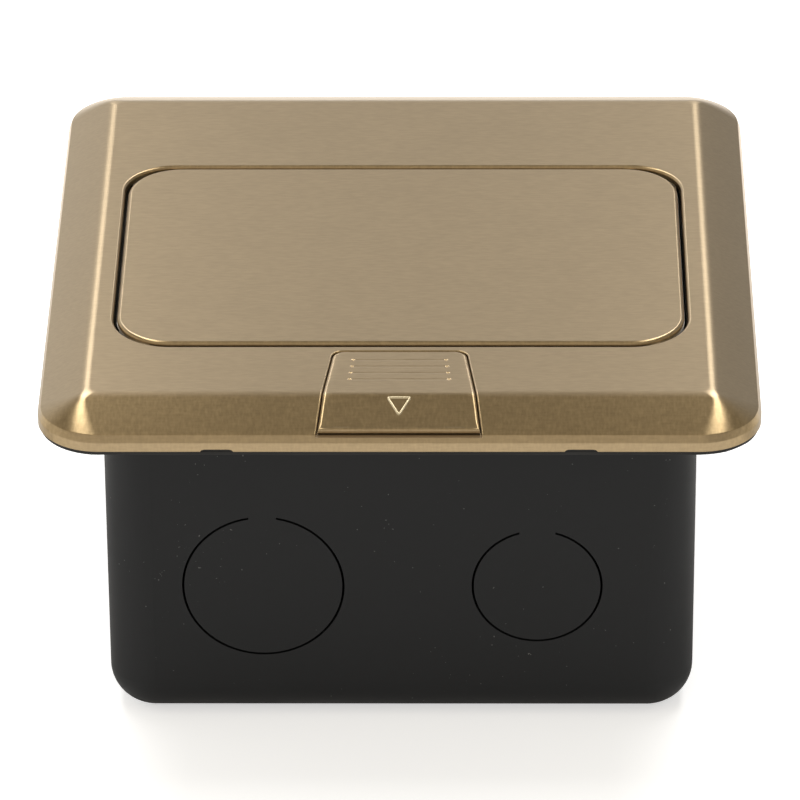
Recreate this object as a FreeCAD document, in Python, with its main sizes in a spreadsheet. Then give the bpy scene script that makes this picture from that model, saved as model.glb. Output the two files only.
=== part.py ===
"""A pop-up floor socket box as a parametric assembly of separate pieces.

Frame: origin at the centre of the box's underside, +Z up, +X to the right and the release
button at the front, towards -Y. Lengths are in millimetres and angles in degrees.
"""
import FreeCAD, Part
import math
import os
import re
import Sketcher

os.makedirs("parts", exist_ok=True)
doc = FreeCAD.newDocument("floor_socket_box")

# ---------------------------------------------------------------- driving dimensions
SIZES = {
    # cover plate
    "plate_overhang": 10.3, "plate_corner": 10.5, "skirt_ledge": 0.8, "flat_corner": 3.6,
    "bevel_run": 7.7, "bevel_drop": 3.2, "skirt_height": 3.25, "sheet": 1.2,
    "crease_round": 1.6, "skirt_round": 0.6, "opening_round": 0.45,
    "notch_x": 30.0, "notch_width": 6.0, "notch_height": 0.6,
    "post_radius": 3.0, "front_post_x": 30.0,
    "rear_post_x": 38.0, "post_hole_depth": 6.0,
    # gasket
    "flange_level": 58.4, "gasket_lip": 0.8, "gasket_rise": 1.2, "gasket_width": 5.0,
    "gasket_inset": 0.3,
    # back box
    "box_corner": 8.0, "box_floor_round": 7.0, "box_wall": 1.2, "rim_drop": 0.1,
    "knockout_drop": 32.4, "large_knockout": 27.0,
    "large_knockout_x": -23.1, "small_knockout": 21.7, "small_knockout_x": 23.0,
    "slit": 0.4, "large_web": 4.6, "small_web": 6.0,
    "fixing_hole": 4.5, "fixing_spacing": 60.0, "earth_x": 34.0, "earth_y": 30.0,
    "earth_boss": 4.0, "earth_boss_radius": 4.0, "washer": 0.8,
    # lugs and chassis
    "lug_length": 10.0, "lug_width": 12.0, "lug_sheet": 2.0, "lug_leg": 8.0,
    "chassis_sheet": 1.2, "chassis_play": 0.3, "swing_play": 0.5,
    "chassis_lip": 4.0,
    # fasteners
    "box_screw": 4.0, "box_screw_length": 8.0, "box_screw_head": 3.6, "box_head_height": 2.4,
    "screw_room": 2.4, "rear_screw_reach": 15.9,
    "screw": 3.0, "screw_head": 2.6, "head_height": 1.6, "small_screw": 2.5,
    "small_head": 1.9, "small_head_height": 1.2, "thread_play": 0.05, "hole_play": 0.3,
    # lid and hinge
    "lid_margin": 3.88, "lid_rear": 25.9, "lid_corner": 9.0, "lid_round": 0.9,
    "lid_gap": 0.85, "hinge_inset": 7.0, "hinge_drop": 2.4, "hinge_rod": 2.5, "rod_play": 0.05,
    "rod_end": 1.6, "ear_radius": 2.2, "ear_slope": 6.0, "coil_room": 4.5,
    "bracket_sheet": 1.2, "bracket_foot": 6.0, "clip_radius": 2.2, "clip_sheet": 0.6,
    "clip_gap": 0.1, "lid_swing": 60.0, "stop_radius": 5.0, "stop_pin": 2.0, "stop_gap": 0.06,
    "hinge_wire": 0.85, "hinge_leg": 11.0, "buffer_inset": 5.4, "spring_play": 0.15,
    "buffer_radius": 2.4, "buffer_foot": 3.2,
    "seat_gap": 0.1,
    # carrier under the lid
    "cheek_sheet": 1.2, "frame_rim": 1.5, "edge_rim": 0.6, "cover_reach": 0.5,
    "cheek_tail": 5.0, "flange_width": 6.0, "flange_front": -22.0,
    "stud": 3.0, "stud_length": 4.4,
    "nut_width": 5.5, "nut_height": 2.4, "frame_sheet": 1.5, "frame_side": 9.0,
    "frame_side_height": 38.0, "frame_play": 0.05, "module": 45.0, "module_rim": 1.4,
    "module_play": 0.1, "front_sheet": 1.6, "front_round": 0.7, "part_play": 0.2,
    "rivet": 2.4, "rivet_head": 2.0, "rivet_height": 0.6, "rivet_spread": 15.0,
    # earthed outlet
    "recess_radius": 19.75, "recess_depth": 17.5, "recess_wall": 1.2, "recess_floor": 1.4,
    "pin_spacing": 19.0, "pin_hole": 5.4, "base_half_width": 21.0, "base_half_height": 13.0,
    "base_depth": 10.7,
    "contact_bore": 4.8, "contact_wall": 0.5, "contact_slot": 1.0,
    "earth_width": 6.0, "earth_sheet": 0.8, "earth_reach": 6.0, "shutter_sheet": 1.2,
    "shutter_height": 10.0, "shutter_travel": 6.0, "shutter_end": 13.5, "shutter_ear": 4.6,
    "ear_x": 6.0, "ear_width": 1.5, "shutter_coil": 0.75,
    # data outlet
    "port_width": 11.9, "port_height": 8.5, "port_depth": 13.0, "jack_travel": 9.0,
    "aperture_width": 13.0, "aperture_offset": 8.0,
    "jack_shutter_height": 12.9, "jack_half": 8.3, "jack_wall": 1.2, "jack_coil": 0.55,
    "ridge_half": 4.0, "ridge_height": 1.2, "jack_length": 18.0, "pin_pitch": 1.02,
    "jack_pin": 0.5, "pin_count": 8,
    # rear cover and clamp
    "cover_sheet": 1.4, "cover_wing": 7.0, "cover_inset": 3.0, "cover_drop": 6.0, "clamp_lift": 3.0,
    "clamp_height": 7.0, "clamp_half": 15.0, "clamp_rise": 5.0,
    "clamp_screw_x": 11.0, "cable_radius": 3.6,
    # button and latch
    "button_half": 11.0, "button_flare": 0.1154, "button_gap": 0.35, "bridge": 1.5,
    "slider_inset": 0.7, "slider_drop": 3.75,
    "button_corner": 2.0, "lip_inset": 1.0, "button_travel": 2.5,
    "lip_play": 0.12, "rib_count": 4, "rib_half": 8.0, "rib_start": 2.6, "rib_pitch": 2.0,
    "rib_depth": 0.2, "rib_width": 0.5, "post_inset": 3.0,
    "cap_post_radius": 2.0, "slider_half": 12.0, "slider_sheet": 1.0,
    "tab_sheet": 1.0, "tab_inset": 0.3,
    "tab_half": 1.6, "spring_room": 0.5, "guide_half": 15.0,
    "guide_room": 0.7, "guide_wall": 1.4, "guide_play": 0.1, "guide_lip": 0.7,
    "guide_lip_reach": 1.5, "spring_x": 7.0, "button_coil": 1.7, "coil_solid": 4.0, "channel_play": 0.4,
    "tongue_half": 5.0, "tongue_sheet": 0.4, "tongue_lap": 5.4, "latch_bite": 1.2,
    "tongue_rivet_x": 2.8, "keeper_half": 7.0, "keeper_sheet": 1.0, "keeper_inset": 2.0, "keeper_length": 7.2,
    "keeper_stud_x": 3.6,
}

sheet = doc.addObject("Spreadsheet::Sheet", "Sizes")
for row, (alias, number) in enumerate(SIZES.items(), start=1):
    sheet.set(f"A{row}", alias)
    sheet.set(f"B{row}", str(number))
    sheet.setAlias(f"B{row}", alias)
doc.recompute()

# ---------------------------------------------------------------- places worked out from them
PLACES = {
    # heights of the layers, from the floor of the box up
    "skirt_bottom": "flange_level + gasket_lip",
    "skirt_top": "skirt_bottom + skirt_height",
    "plate_top": "skirt_top + bevel_drop",
    "plate_under": "plate_top - sheet",
    "chassis_top": "slider_level - 2 * button_coil - spring_room",
    "lug_top": "chassis_top - chassis_sheet",
    "lug_level": "lug_top - lug_sheet",
    "box_height": "skirt_bottom - rim_drop",
    # the cover plate's shell
    "plate_half": "box_half + plate_overhang",
    "flat_half": "plate_half - skirt_ledge - bevel_run",
    "bevel_foot": "flat_half + bevel_run",
    "bevel_slope": "bevel_drop / bevel_run",
    "skirt_inside": "plate_half - sheet",
    "inner_drop": "sheet / cos(atan(bevel_slope))",
    "inner_flat": "flat_half - (inner_drop - sheet) / bevel_slope",
    "inner_foot": "plate_top - inner_drop - (skirt_inside - flat_half) * bevel_slope",
    "gasket_half": "plate_half - gasket_inset",
    "gasket_inside": "gasket_half - gasket_width",
    # box and chassis
    "box_half": "bracket_x + bracket_sheet + bracket_foot + chassis_play + box_wall",
    "box_inside": "box_half - box_wall",
    "inner_corner": "box_corner - box_wall",
    "knockout_level": "skirt_bottom - knockout_drop",
    "chassis_half": "box_inside - chassis_play",
    "chassis_front": "lid_front + lid_gap + swing_play",
    "chassis_rear": "lid_rear + lid_gap + swing_play",
    "chassis_window": "cheek_x + rivet_height + swing_play",
    "front_post_y": "0 - (chassis_front + chassis_half) / 2",
    "rear_post_y": "(chassis_rear + chassis_half) / 2",
    "box_screw_x": "box_inside - lug_length / 2",
    "box_screw_front": "buffer_y + buffer_foot + screw_room + box_screw_head",
    "box_screw_rear": "hinge_y - rear_screw_reach",
    # lid and hinge
    "lid_half": "flat_half - lid_margin",
    "lid_front": "button_rear - button_gap - bridge - lid_gap",
    "hinge_y": "lid_rear - hinge_inset",
    "hinge_z": "plate_under - hinge_drop",
    "rod_radius": "hinge_rod / 2",
    "bracket_x": "cheek_x + coil_room",
    "coil_inside": "rod_radius + spring_play",
    "coil_line": "coil_inside + hinge_wire / 2",
    "rod_half": "bracket_x + bracket_sheet + rod_end",
    "stop_turn": "lid_swing * 1 deg - acos((ear_radius + stop_pin / 2 + stop_gap) / stop_radius)",
    "stop_y": "hinge_y + stop_radius * cos(stop_turn)",
    "stop_z": "hinge_z + stop_radius * sin(stop_turn)",
    # carrier
    "cheek_inside": "module * 3 / 4 + frame_rim + frame_play",
    "cheek_x": "cheek_inside + cheek_sheet",
    "buffer_x": "lid_half - buffer_inset",
    "buffer_y": "0 - (lid_front - buffer_inset)",
    "flange_back": "hinge_y - hinge_rod",
    "stud_x": "cheek_inside - flange_width / 2",
    "stud_front": "flange_front + flange_width / 2",
    "stud_back": "flange_back - flange_width / 2",
    "flange_under": "plate_under - cheek_sheet",
    "frame_top": "flange_under - part_play",
    "carrier_bottom": "frame_top - module - 2 * edge_rim",
    "frame_half": "cheek_inside - frame_play",
    "frame_front": "face_y + front_sheet",
    "frame_back": "frame_front + frame_sheet",
    "module_z": "(carrier_bottom + frame_top) / 2",
    "module_half": "module / 2",
    "socket_x": "0 - module / 4",
    "jack_x": "module / 2",
    "frame_rivet_y": "frame_back + frame_side / 2",
    "cover_front": "cover_back - cover_sheet",
    "cover_back": "lid_rear + cover_reach",
    "cover_low": "carrier_bottom + cover_inset",
    "cover_top": "hinge_z - cover_drop",
    "clamp_low": "cover_low + clamp_lift",
    "cover_rivet_y": "cover_front - cover_wing / 2",
    # earthed outlet, from its back to its face
    "base_back": "cover_front - head_height - earth_sheet",
    "base_front": "base_back - base_depth",
    "shutter_front": "base_front - part_play - shutter_sheet",
    "cup_back": "shutter_front - part_play",
    "recess_back": "cup_back - recess_floor",
    "face_y": "recess_back - recess_depth",
    "pin_x": "pin_spacing / 2",
    "shutter_low": "module_z - shutter_height / 2",
    "shutter_top": "module_z + shutter_height / 2",
    "earth_arm": "recess_radius + part_play / 2",
    "earth_back": "base_back + part_play / 2",
    # data outlet
    "jack_front": "frame_front + part_play / 2",
    "jack_shutter_back": "jack_front + shutter_sheet",
    "jack_flange": "jack_shutter_back + part_play / 2",
    "aperture_low": "module_z - aperture_offset",
    "aperture_top": "aperture_low + jack_travel + ridge_height + 1.5 * part_play",
    "port_low": "aperture_low + part_play / 2",
    "port_top": "port_low + port_height",
    "jack_shutter_low": "aperture_low - 2 * part_play",
    "jack_shutter_top": "jack_shutter_low + jack_shutter_height",
    "jack_rim_half": "module / 4 - module_rim - module_play",
    "jack_rim_height": "module_half - module_rim - module_play",
    # button and latch
    "button_rear": "slider_rear - slider_inset",
    "button_lip": "bevel_foot - lip_inset",
    "cutout_front": "button_lip + 2 * button_gap",
    "lip_level": "skirt_top + lip_play",
    "slider_level": "plate_under - slider_drop",
    "slider_rear": "tab_rear - tab_inset",
    "slider_front": "cap_post_y + cap_post_radius + part_play / 2",
    "cap_post_x": "button_half - post_inset",
    "cap_post_y": "guide_front + small_head + part_play",
    "slider_top": "slider_level + slider_sheet",
    "guide_top": "slider_level - guide_play",
    "tongue_top": "slider_top + tongue_sheet",
    "tab_rear": "tab_front - tab_sheet",
    "tab_front": "channel_front - button_travel - coil_solid",
    "channel_front": "guide_front - guide_wall",
    "guide_front": "box_inside - guide_room",
    "guide_rear": "slider_rear - guide_wall",
    "tongue_root": "slider_rear + tongue_lap",
    "tongue_rivet_y": "tongue_root - small_head - thread_play",
    "tongue_nose": "keeper_web + keeper_sheet + part_play",
    "keeper_web": "lid_front - keeper_inset",
    "keeper_foot": "keeper_web - keeper_length",
    "keeper_stud_y": "keeper_web - keeper_length / 2",
    "keeper_lip": "tongue_nose + latch_bite",
    "keeper_low": "slider_top - hole_play - keeper_sheet",
}


def spell_out(text):
    """Write words for sizes and places as references to the sheet's cells."""
    def word(match):
        name = match.group(0)
        if name in PLACES:
            return "(" + spell_out(PLACES[name]) + ")"
        return "Sizes." + name if name in SIZES else name
    return re.sub(r"[a-z_]*[a-z]", word, str(text))


def value(text):
    return float(sheet.evalExpression(spell_out(text)))


# ---------------------------------------------------------------- helpers
parts = []
PLANE_ROLES = {"XY": "XY_Plane", "XZ": "XZ_Plane", "YZ": "YZ_Plane"}
sketch_planes = {}


def name_part(item, node):
    item.Label = node
    parts.append(item)
    return item


def new_body(node):
    return name_part(doc.addObject("PartDesign::Body", node), node)


def new_sketch(body, plane, at="0"):
    """A sketch on the body's own origin plane, moved to `at` along the plane's world axis."""
    sketch = body.newObject("Sketcher::SketchObject", body.Name + "_outline")
    origin = [f for f in body.Origin.OriginFeatures if f.Role == PLANE_ROLES[plane]]
    sketch.AttachmentSupport = [(origin[0], "")]
    sketch.MapMode = "FlatFace"
    offset = f"0 - ({at})" if plane == "XZ" else at
    sketch.setExpression(".AttachmentOffset.Base.z", spell_out(offset))
    sketch_planes[sketch.Name] = plane
    return sketch


def fix_point(sketch, geometry, point, x, y):
    for kind, text in (("DistanceX", x), ("DistanceY", y)):
        if text is None:
            continue
        index = sketch.addConstraint(
            Sketcher.Constraint(kind, -1, 1, geometry, point, value(text)))
        sketch.setExpression(f"Constraints[{index}]", spell_out(text))


def fix_radius(sketch, geometry, radius):
    index = sketch.addConstraint(Sketcher.Constraint("Radius", geometry, value(radius)))
    sketch.setExpression(f"Constraints[{index}]", spell_out(radius))


def point(x, y):
    return FreeCAD.Vector(x, y, 0)


def draw_polygon(sketch, corners):
    spots = [point(value(x), value(y)) for x, y in corners]
    lines = [
        sketch.addGeometry(Part.LineSegment(a, b), False)
        for a, b in zip(spots, spots[1:] + spots[:1])
    ]
    for line, following in zip(lines, lines[1:] + lines[:1]):
        sketch.addConstraint(Sketcher.Constraint("Coincident", line, 2, following, 1))
    for line, (x, y) in zip(lines, corners):
        fix_point(sketch, line, 1, x, y)


def draw_rectangle(sketch, x0, x1, y0, y1):
    draw_polygon(sketch, [(x0, y0), (x1, y0), (x1, y1), (x0, y1)])


def draw_circle(sketch, x, y, radius):
    circle = Part.Circle(point(value(x), value(y)), FreeCAD.Vector(0, 0, 1), value(radius))
    index = sketch.addGeometry(circle, False)
    fix_point(sketch, index, 3, x, y)
    fix_radius(sketch, index, radius)


def draw_rounded(sketch, x0, x1, y0, y1, radius):
    """A rectangle with four tangent corner arcs."""
    a, b, c, d, r = (value(text) for text in (x0, x1, y0, y1, radius))
    ends = [(a + r, c, b - r, c), (b, c + r, b, d - r), (b - r, d, a + r, d), (a, d - r, a, c + r)]
    centres = [(b - r, c + r, -90), (b - r, d - r, 0), (a + r, d - r, 90), (a + r, c + r, 180)]
    lines = [
        sketch.addGeometry(Part.LineSegment(point(p, q), point(s, t)), False)
        for p, q, s, t in ends
    ]
    arcs = []
    for x, y, turn in centres:
        circle = Part.Circle(point(x, y), FreeCAD.Vector(0, 0, 1), r)
        start = math.radians(turn)
        arcs.append(sketch.addGeometry(Part.ArcOfCircle(circle, start, start + math.pi / 2), False))
    for k, (line, arc) in enumerate(zip(lines, arcs)):
        sketch.addConstraint(Sketcher.Constraint("Tangent", line, 2, arc, 1))
        sketch.addConstraint(Sketcher.Constraint("Tangent", arc, 2, lines[(k + 1) % 4], 1))
        sketch.addConstraint(Sketcher.Constraint("Vertical" if k % 2 else "Horizontal", line))
        if k:
            sketch.addConstraint(Sketcher.Constraint("Equal", arcs[0], arc))
    fix_radius(sketch, arcs[0], radius)
    fix_point(sketch, lines[0], 1, None, y0)
    fix_point(sketch, lines[1], 1, x1, None)
    fix_point(sketch, lines[2], 1, None, y1)
    fix_point(sketch, lines[3], 1, x0, None)


def draw_slit(sketch, x, y, radius, web):
    """A thin ring, open at its top where the web holds the knockout disc."""
    cx, cy, half = value(x), value(y), value(web) / 2
    arcs = []
    for shift in ("+ slit / 2", "- slit / 2"):
        size = f"{radius} {shift}"
        r = value(size)
        lean = math.asin(half / r)
        circle = Part.Circle(point(cx, cy), FreeCAD.Vector(0, 0, 1), r)
        start = math.pi / 2 + lean
        arc = sketch.addGeometry(
            Part.ArcOfCircle(circle, start, start + 2 * math.pi - 2 * lean), False)
        arcs.append(arc)
        fix_point(sketch, arc, 3, x, y)
        fix_radius(sketch, arc, size)
        fix_point(sketch, arc, 1, f"{x} - {web} / 2", None)
        fix_point(sketch, arc, 2, f"{x} + {web} / 2", None)
    for end in (1, 2):
        spots = [sketch.getPoint(arc, end) for arc in arcs]
        line = sketch.addGeometry(Part.LineSegment(*spots), False)
        for at, arc in ((1, arcs[0]), (2, arcs[1])):
            sketch.addConstraint(Sketcher.Constraint("Coincident", line, at, arc, end))


def extrude(body, kind, sketch, length, along):
    feature = body.newObject("PartDesign::" + kind, f"{body.Name}_{kind.lower()}")
    feature.Profile = sketch
    feature.setExpression("Length", spell_out(length))
    facing = -1 if sketch_planes[sketch.Name] == "XZ" else 1
    if kind == "Pocket":
        facing = -facing
    if along == 0:
        feature.SideType = "Symmetric"
    else:
        feature.Reversed = along != facing
    sketch.Visibility = False
    return feature


def pad(body, sketch, length, along=1):
    """Add the outline's solid, along the plane's world axis (1), against it (-1) or both (0)."""
    return extrude(body, "Pad", sketch, length, along)


def pocket(body, sketch, length, along=-1):
    return extrude(body, "Pocket", sketch, length, along)


def loft(body, kind, lower, upper):
    feature = body.newObject("PartDesign::" + kind, f"{body.Name}_{kind.lower()}")
    feature.Profile = lower
    feature.Sections = [upper]
    feature.Ruled = True
    return feature


def fillet(body, radius, wanted):
    """Round the edges of the body's tip whose middle point and direction `wanted` accepts."""
    doc.recompute()
    base = body.Tip
    names = []
    for number, edge in enumerate(base.Shape.Edges, start=1):
        middle = edge.valueAt((edge.FirstParameter + edge.LastParameter) / 2)
        if wanted(edge, middle):
            names.append(f"Edge{number}")
    feature = body.newObject("PartDesign::Fillet", body.Name + "_fillet")
    feature.Base = (base, names)
    feature.setExpression("Radius", spell_out(radius))
    return feature


def level(edge, z):
    box = edge.BoundBox
    return abs(box.ZMin - z) < 1e-4 and abs(box.ZMax - z) < 1e-4


def block(x0, x1, y0, y1, z0, z1):
    item = doc.addObject("Part::Box", "block")
    for side, low, high in (("Length", x0, x1), ("Width", y0, y1), ("Height", z0, z1)):
        item.setExpression(side, spell_out(f"({high}) - ({low})"))
    for axis, low in (("x", x0), ("y", y0), ("z", z0)):
        item.setExpression(f".Placement.Base.{axis}", spell_out(low))
    return item


TURNS = {
    "+Z": (FreeCAD.Vector(0, 0, 1), 0), "-Z": (FreeCAD.Vector(1, 0, 0), 180),
    "+X": (FreeCAD.Vector(0, 1, 0), 90), "-X": (FreeCAD.Vector(0, 1, 0), -90),
    "+Y": (FreeCAD.Vector(1, 0, 0), -90), "-Y": (FreeCAD.Vector(1, 0, 0), 90),
}


def cylinder(direction, x, y, z, radius, length):
    """A round bar that starts at a point and runs in a direction such as "-Y"."""
    item = doc.addObject("Part::Cylinder", "bar")
    item.Placement = FreeCAD.Placement(FreeCAD.Vector(), FreeCAD.Rotation(*TURNS[direction]))
    item.setExpression("Radius", spell_out(radius))
    item.setExpression("Height", spell_out(length))
    for axis, start in (("x", x), ("y", y), ("z", z)):
        item.setExpression(f".Placement.Base.{axis}", spell_out(start))
    return item


def fuse(*pieces):
    item = doc.addObject("Part::MultiFuse", "joined")
    item.Shapes = list(pieces)
    item.Refine = True
    return item


def cut(base, *tools):
    for tool in tools:
        item = doc.addObject("Part::Cut", "cut")
        item.Base, item.Tool = base, tool
        base = item
    return base


def group(*pieces):
    item = doc.addObject("Part::Compound", "group")
    item.Links = list(pieces)
    return item


def screw(direction, x, y, z, radius, length, head, head_height):
    """A screw whose head seats at a point and whose shank runs in the direction."""
    back = {"+": "-", "-": "+"}[direction[0]] + direction[1]
    shank = cylinder(direction, x, y, z, radius, length)
    cap = cylinder(back, x, y, z, head, head_height)
    return fuse(shank, cap)


SIDES = {"left": -1, "right": 1}


# ---------------------------------------------------------------- back box and what it holds
def make_back_box():
    """Drawn steel box with knockout discs in its walls, fixing holes and an earth boss."""
    body = new_body("back_box")
    outline = new_sketch(body, "XY")
    draw_rectangle(outline, "-box_half", "box_half", "-box_half", "box_half")
    pad(body, outline, "box_height")
    fillet(body, "box_corner", lambda edge, middle: edge.BoundBox.ZLength > 1)
    fillet(body, "box_floor_round", lambda edge, middle: level(edge, 0))
    doc.recompute()
    solid = body.Tip
    rim = [f"Face{n}" for n, face in enumerate(solid.Shape.Faces, start=1)
           if abs(face.BoundBox.ZMin - value("box_height")) < 1e-4]
    shell = body.newObject("PartDesign::Thickness", "box_shell")
    shell.Base = (solid, rim)
    shell.setExpression("Value", spell_out("box_wall"))
    shell.Reversed = True
    for plane, side in (("XZ", -1), ("XZ", 1), ("YZ", -1), ("YZ", 1)):
        slits = new_sketch(body, plane, f"{side} * (box_half + box_wall)")
        draw_slit(slits, "large_knockout_x", "knockout_level", "large_knockout / 2", "large_web")
        draw_slit(slits, "small_knockout_x", "knockout_level", "small_knockout / 2", "small_web")
        pocket(body, slits, "3 * box_wall", along=-side)
    holes = new_sketch(body, "XY")
    for side in SIDES.values():
        draw_circle(holes, f"{side} * fixing_spacing / 2", "0", "fixing_hole / 2")
    pocket(body, holes, "2 * box_wall", along=1)
    boss = new_sketch(body, "XY", "box_wall")
    draw_circle(boss, "earth_x", "earth_y", "earth_boss_radius")
    draw_circle(boss, "earth_x", "earth_y", "box_screw / 2 + thread_play")
    pad(body, boss, "earth_boss")


def make_box_lugs():
    """Four folded tabs, welded inside the box and tapped for the box screws."""
    lugs = []
    for side in SIDES.values():
        for y in ("box_screw_front", "box_screw_rear"):
            low, high = sorted((f"{side} * box_inside", f"{side} * (box_inside - lug_length)"), key=value)
            leg = sorted((f"{side} * box_inside", f"{side} * (box_inside - lug_sheet)"), key=value)
            front, back = f"{y} - lug_width / 2", f"{y} + lug_width / 2"
            lug = fuse(block(low, high, front, back, "lug_level", "lug_top"),
                       block(leg[0], leg[1], front, back, "lug_level - lug_leg", "lug_level"))
            bore = cylinder("+Z", f"{side} * box_screw_x", y, "lug_level - 1",
                            "box_screw / 2 + thread_play", "lug_sheet + 2")
            lugs.append(cut(lug, bore))
    name_part(group(*lugs), "box_lugs")


def make_earth_terminal():
    top = "box_wall + earth_boss"
    ring = cylinder("+Z", "earth_x", "earth_y", top, "box_screw_head + washer", "washer")
    bore = cylinder("+Z", "earth_x", "earth_y", top, "box_screw / 2 + thread_play", "washer")
    name_part(cut(ring, bore), "earth_washer")
    bolt = screw("-Z", "earth_x", "earth_y", f"{top} + washer", "box_screw / 2",
                 "earth_boss + washer", "box_screw_head", "box_head_height")
    name_part(bolt, "earth_screw")


def make_chassis():
    """The folded frame that carries the hinge and the latch, on the box's lugs."""
    body = new_body("chassis")
    ring = new_sketch(body, "XY", "lug_top")
    draw_rounded(ring, "-chassis_half", "chassis_half", "-chassis_half", "chassis_half", "inner_corner")
    draw_rectangle(ring, "-chassis_window", "chassis_window", "-chassis_front", "chassis_rear")
    pad(body, ring, "chassis_sheet")
    lips = new_sketch(body, "XY", "lug_top")
    for near, far in (("-chassis_front - chassis_sheet", "-chassis_front"),
                      ("chassis_rear", "chassis_rear + chassis_sheet")):
        draw_rectangle(lips, "-chassis_window", "chassis_window", near, far)
    pad(body, lips, "chassis_lip", along=-1)
    holes = new_sketch(body, "XY", "chassis_top")
    for side in SIDES.values():
        for y in ("box_screw_front", "box_screw_rear"):
            draw_circle(holes, f"{side} * box_screw_x", y, "box_screw / 2 + hole_play")
        for x, y in POSTS:
            draw_circle(holes, f"{side} * {x}", y, "screw / 2 + hole_play")
        draw_circle(holes, f"{side} * ({BRACKET_SCREW_X})", BRACKET_SCREW_Y,
                    "screw / 2 + thread_play")
    for y in GUIDE_SCREWS:
        draw_circle(holes, "0", y, "screw / 2 + hole_play")
    pocket(body, holes, "2 * chassis_sheet")


POSTS = (("front_post_x", "front_post_y"), ("rear_post_x", "rear_post_y"))
BRACKET_SCREW_X = "bracket_x + bracket_sheet + bracket_foot / 2"
BRACKET_SCREW_Y = "hinge_y - ear_slope / 2 + ear_radius / 2"
GUIDE_SCREWS = ("-guide_rear - screw_head - 0.6", "-guide_front + screw_head")


def make_frame_screws():
    """The screws of the box, the chassis, the hinge brackets and the latch guide."""
    box_screws, chassis_screws, bracket_screws = [], [], []
    for side in SIDES.values():
        for y in ("box_screw_front", "box_screw_rear"):
            box_screws.append(
                screw("-Z", f"{side} * box_screw_x", y, "chassis_top", "box_screw / 2",
                      "box_screw_length", "box_screw_head", "box_head_height"))
        for x, y in POSTS:
            chassis_screws.append(
                screw("+Z", f"{side} * {x}", y, "lug_top", "screw / 2",
                      "chassis_sheet + post_hole_depth - 1", "screw_head", "head_height"))
        bracket_screws.append(
            screw("-Z", f"{side} * ({BRACKET_SCREW_X})", BRACKET_SCREW_Y,
                  "chassis_top + bracket_sheet", "screw / 2", "bracket_sheet + 2 * chassis_sheet",
                  "screw_head", "head_height"))
    guide_screws = [
        screw("+Z", "0", y, "lug_top", "screw / 2", "chassis_sheet + guide_top - chassis_top - 1",
              "screw_head", "head_height")
        for y in GUIDE_SCREWS
    ]
    name_part(group(*box_screws), "box_screws")
    name_part(group(*chassis_screws), "chassis_screws")
    name_part(group(*bracket_screws), "bracket_screws")
    name_part(group(*guide_screws), "guide_screws")


# ---------------------------------------------------------------- cover plate and gasket
def cutout_half(y, widen):
    """Half the width of the button, or of its cut-out, at a distance in front of the centre."""
    return f"(button_half + {widen} + ({y} - button_rear) * button_flare)"


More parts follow.
